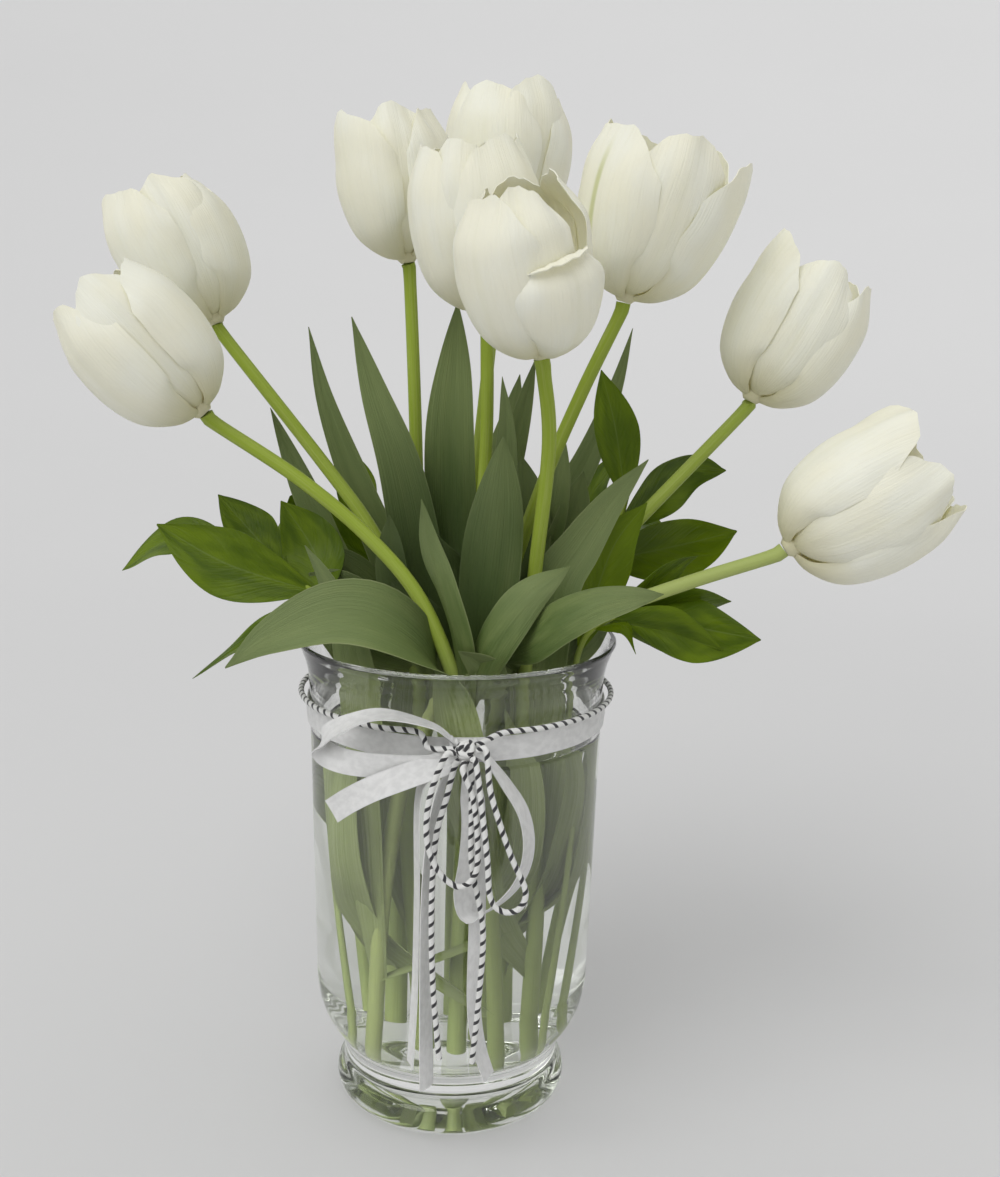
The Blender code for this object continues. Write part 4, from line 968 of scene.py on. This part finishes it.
def make_water(finish):
    """The water, with its edge drawn up a little at the glass."""
    inner = smooth(INNER_WALL[:-1], 4)[::-1]
    wall = [(r + WATER_LAP, z - WATER_LAP) for r, z in inner if z < WATER_LEVEL - 1]
    top = float(np.interp(WATER_LEVEL, inner[:, 1], inner[:, 0]))
    edge = [(top - back, WATER_LEVEL + lift) for back, lift in WATER_EDGE]
    clear_piece("still_water", [(0, wall[0][1]), *wall, *edge, (0, WATER_LEVEL)], finish, "water", "water")


# --- plants ---------------------------------------------------------------------------------------
def stem_curve(number):
    route, base, axis, *_ = TULIPS[number]
    base = Vector(base)
    neck = base - Vector(axis).normalized() * NECK
    return even(smooth([*route, neck, base]), 96)


def leaf_widths(shares, root, widest, power):
    """Width share of a long leaf: root at its foot, 1 at widest, and a point at its end."""
    rising = root + (1 - root) * np.sin(pi / 2 * np.minimum(shares / widest, 1))
    falling = 1 - np.clip((shares - widest) / (1 - widest), 0, 1) ** power
    return np.maximum(np.where(shares < widest, rising, falling), 0.02)


def leaf(body, route, width, side_root, side_tip, curl, shape, draw, tone=None, rows=44, cols=15, wave=0.8,
         groove=0.6):
    """A blade with a grooved middle and a wavy edge."""
    points = even(smooth(route), rows)
    shares = np.linspace(0, 1, rows + 1)
    across = np.sin(np.linspace(-1, 1, cols) * pi / 2)
    sides = np.outer(1 - shares, side_root) + np.outer(shares, side_tip)
    scale = leaf_widths(shares, *shape)
    grid, up = blade(points, sides, width * scale, curl * (1.6 - 0.9 * shares), across)
    u, v = shares[:, None], across[None]
    start, beats = draw.uniform(0, 1), draw.uniform(1.4, 2.4)
    ripple = wave * np.sin(tau * (beats * u + start + 0.3 * np.sign(v))) * v ** 2 * step_up(u, 0.15, 0.5)
    sway = 0.8 * wave * np.sin(tau * (0.8 * u + start)) * v * step_up(u, 0.1, 0.4)
    lift = (ripple + sway - groove * np.exp(-(v / 0.14) ** 2) + groove * 0.3) * scale[:, None]
    thick = (0.7 - 0.5 * np.abs(v) ** 5) * np.maximum(scale, 0.3)[:, None]
    body.skin(grid + up * lift[..., None], thick, u, v, draw.uniform(0, 1) if tone is None else tone)


def make_stem(number, stem_look, leaf_look):
    curve = stem_curve(number)
    shares = np.linspace(0, 1, len(curve))
    body = Body()
    radii = STEM_RADIUS * (1 - STEM_TAPER * shares) * (1 + 0.10 * step_up(shares, 0.97, 1.0))
    round_tube(body, curve, radii, 18, tone=number / 9)
    body.piece(f"stalk_{number}", stem_look, "tulip_green", f"tulip_{number}_stem")
    leaves = Body()
    draw = random.Random(100 + number)
    for owner, height, route, width, side_root, side_tip, curl, *tone in (*TULIP_LEAVES, *INNER_LEAVES):
        if owner == number:
            root = next(point for point in curve if point[2] >= height)
            leaf(leaves, [root, *route], width, side_root, side_tip, curl, TULIP_LEAF_SHAPE, draw, *tone)
    if leaves.count:
        leaves.piece(f"leaves_{number}", leaf_look, "tulip_green", f"tulip_{number}_stem")


def make_sprig(name, stem_look, leaf_look):
    route, leaves = SPRIGS[name]
    curve = even(smooth(route), SPRIG_STEPS)
    body = Body()
    round_tube(body, curve, SPRIG_RADIUS * (1 - 0.25 * np.linspace(0, 1, SPRIG_STEPS + 1)), 12, tone=0.3)
    body.piece(f"twig_{name}", stem_look, "sprig_green", f"sprig_{name}")
    foliage = Body()
    draw = random.Random(name)
    for share, middle, tip, width, side in (*leaves, *INNER_SPRIG_LEAVES.get(name, ())):
        leaf(foliage, [curve[round(share * SPRIG_STEPS)], middle, tip], width, side, side, 0.3,
             SPRIG_LEAF_SHAPE, draw, rows=30, cols=13, wave=0.7, groove=0.5)
    foliage.piece(f"foliage_{name}", leaf_look, "sprig_green", f"sprig_{name}")


def petal(body, outline, turn, width, length, radius, opening, layer, draw, tip=None, cusp=0.0, ruffle=1.0,
          fold=None, tone=None):
    """One petal about +Z: outline is its middle line as (radius, height)."""
    out = np.array((cos(turn), sin(turn), 0.0))
    side = np.array((sin(turn), -cos(turn), 0.0))
    tall, wide = length / NOMINAL_LENGTH, radius / NOMINAL_RADIUS
    line = [out * (r * wide + opening * (z / NOMINAL_LENGTH) ** 2) + np.array((0, 0, z * tall))
            for r, z in outline]
    points = even(smooth(line), 100)
    shares = np.linspace(0, 1, 101)
    reach = np.linalg.norm(points[:, :2], axis=1)
    share = np.where(shares < 0.5, 0.22 + 0.78 * np.sin(pi * shares), 1 - 0.20 * (2 * shares - 1) ** 2)
    widths = np.minimum(width * wide * share, 2 * PETAL_SPREAD * reach)
    across = np.sin(np.linspace(-1, 1, 27) * pi / 2)
    grid, inward = blade(points, np.tile(side, (101, 1)), widths,
                         np.minimum(widths / 2 / np.maximum(reach * 1.06, 3.0), 1.0), across)
    u, v = shares[:, None], across[None, :]
    a, b, c, d, e = (draw.uniform(0, 1) for _ in range(5))
    tip = TIP_IN[layer] if tip is None else tip
    edge = np.sin(tau * ((1.6 + a) * u + np.where(v < 0, b, c))) * np.abs(v) ** 2.2 * step_up(u, 0.3, 0.8)
    top = np.sin((4.5 + 3 * c) * v + tau * d) * step_up(u, 0.6, 1.0)
    furrows = np.sin(12 * v * (1 + 0.2 * u) + tau * a) * step_up(u, 0.35, 0.75)
    swell = np.sin(pi * u) * np.sin(2.4 * v + tau * e)
    rib = np.exp(-(v / 0.10) ** 2) * step_up(u, 0.05, 0.3) * (1 - step_up(u, 0.8, 1.0))
    lift = (ruffle * (0.9 * edge + 1.0 * top) + 0.25 * furrows + 0.7 * swell + 0.5 * rib
            + tip * step_up(u, 0.72, 1.0) * (1 - 0.4 * v ** 2)
            + HUG[layer] * np.abs(v) ** 3 * step_up(u, 0.06, 0.3))
    grid = grid + inward * lift[..., None]
    if fold:
        start, slope, bend, most = fold
        grid = folded(grid, start + slope * across, bend, most)
    notches = 0.010 * np.sin(7 * across + tau * b) + 0.006 * np.sin(17 * across + tau * e)
    ends = 1 - 0.24 * np.abs(across) ** 3.0 + notches + cusp * np.exp(-(across / 0.14) ** 2)
    grid, shares = trimmed(grid, ends / ends.max(), 40)
    thick = (0.25 + 0.45 * (1 - v ** 2)) * (1 - 0.4 * shares)
    body.skin(grid, thick, shares, v, draw.uniform(0, 0.6) if tone is None else tone)


def bloom_heart():
    """The pistil and the stamens, about +Z."""
    heart = Body()
    count = len(PISTIL_RADII)
    column = np.stack([np.zeros(count), np.zeros(count), np.linspace(6, 30, count)], 1)
    round_tube(heart, column, np.array(PISTIL_RADII), 12)
    radii = np.interp(np.linspace(0, 1, 16), *STAMEN_RADII)
    for k in range(STAMENS):
        way = tau * k / STAMENS
        thread = np.array([(r * cos(way), r * sin(way), z) for r, z in STAMEN_LINE])
        round_tube(heart, even(thread, 15), radii, 8)
    return heart


def make_bloom(number, finish, hearts):
    _, base, axis, length, radius, opening, outer = TULIPS[number]
    turns = [outer, [(a + b) / 2 for a, b in zip(outer, [*outer[1:], outer[0] + 360])]]
    draw, detail = random.Random(number), random.Random(50 + number)
    body = Body()
    seat = np.array([(0, 0, 0), (0, 0, SEAT_HEIGHT)], float)
    round_tube(body, even(seat, 16), np.interp(np.linspace(0, 1, 17), *SEAT_RADII), 24)
    body.places[0] = body.places[0] * (0.02, 1, 1)
    layers = ((OUTER_PETAL, OUTER_WIDTH), (INNER_PETAL, INNER_WIDTH))
    for layer, (outline, width) in enumerate(layers):
        for k in range(PETALS):
            lean = draw.uniform(-1.5, 2.5) * (1 - layer)
            tall = length * draw.uniform(0.94, 1.0)
            key = number, PETALS * layer + k
            if key in SHORT_PETALS:
                lean += SHORT_LEAN
                tall *= SHORT_PETALS[key]
            form = dict(PETAL_FORMS.get(key, {}))
            turn = form.pop("turn", turns[layer][k])
            tall *= form.pop("stretch", 1)
            petal(body, outline, radians(turn), width, tall, radius - 0.3, opening + lean, layer,
                  detail, **form)
    heart = bloom_heart()
    way = Vector(axis).normalized()
    matrix = np.array(Vector((0, 0, 1)).rotation_difference(way).to_matrix())
    for made in (body, heart):
        made.moved(matrix, np.array(Vector(base) + way * GAP))
    body.piece(f"bloom_{number}", finish, "white_petal", f"tulip_{number}_bloom")
    heart.piece(f"bloom_heart_{number}", hearts, "white_petal")


def main():
    make_camera()
    make_twine(twine_finish())
    make_ribbon(satin_finish())
    make_vase(glass_finish())
    make_water(water_finish())
    stem_look, leaf_look, sprig_look = stem_finish(), tulip_leaf_finish(), sprig_leaf_finish()
    petal_look, heart_look = petal_finish(), heart_finish()
    for number in TULIPS:
        make_stem(number, stem_look, leaf_look)
        make_bloom(number, petal_look, heart_look)
    for name in SPRIGS:
        make_sprig(name, stem_look, sprig_look)
    make_floor(floor_finish())
    make_studio()


main()
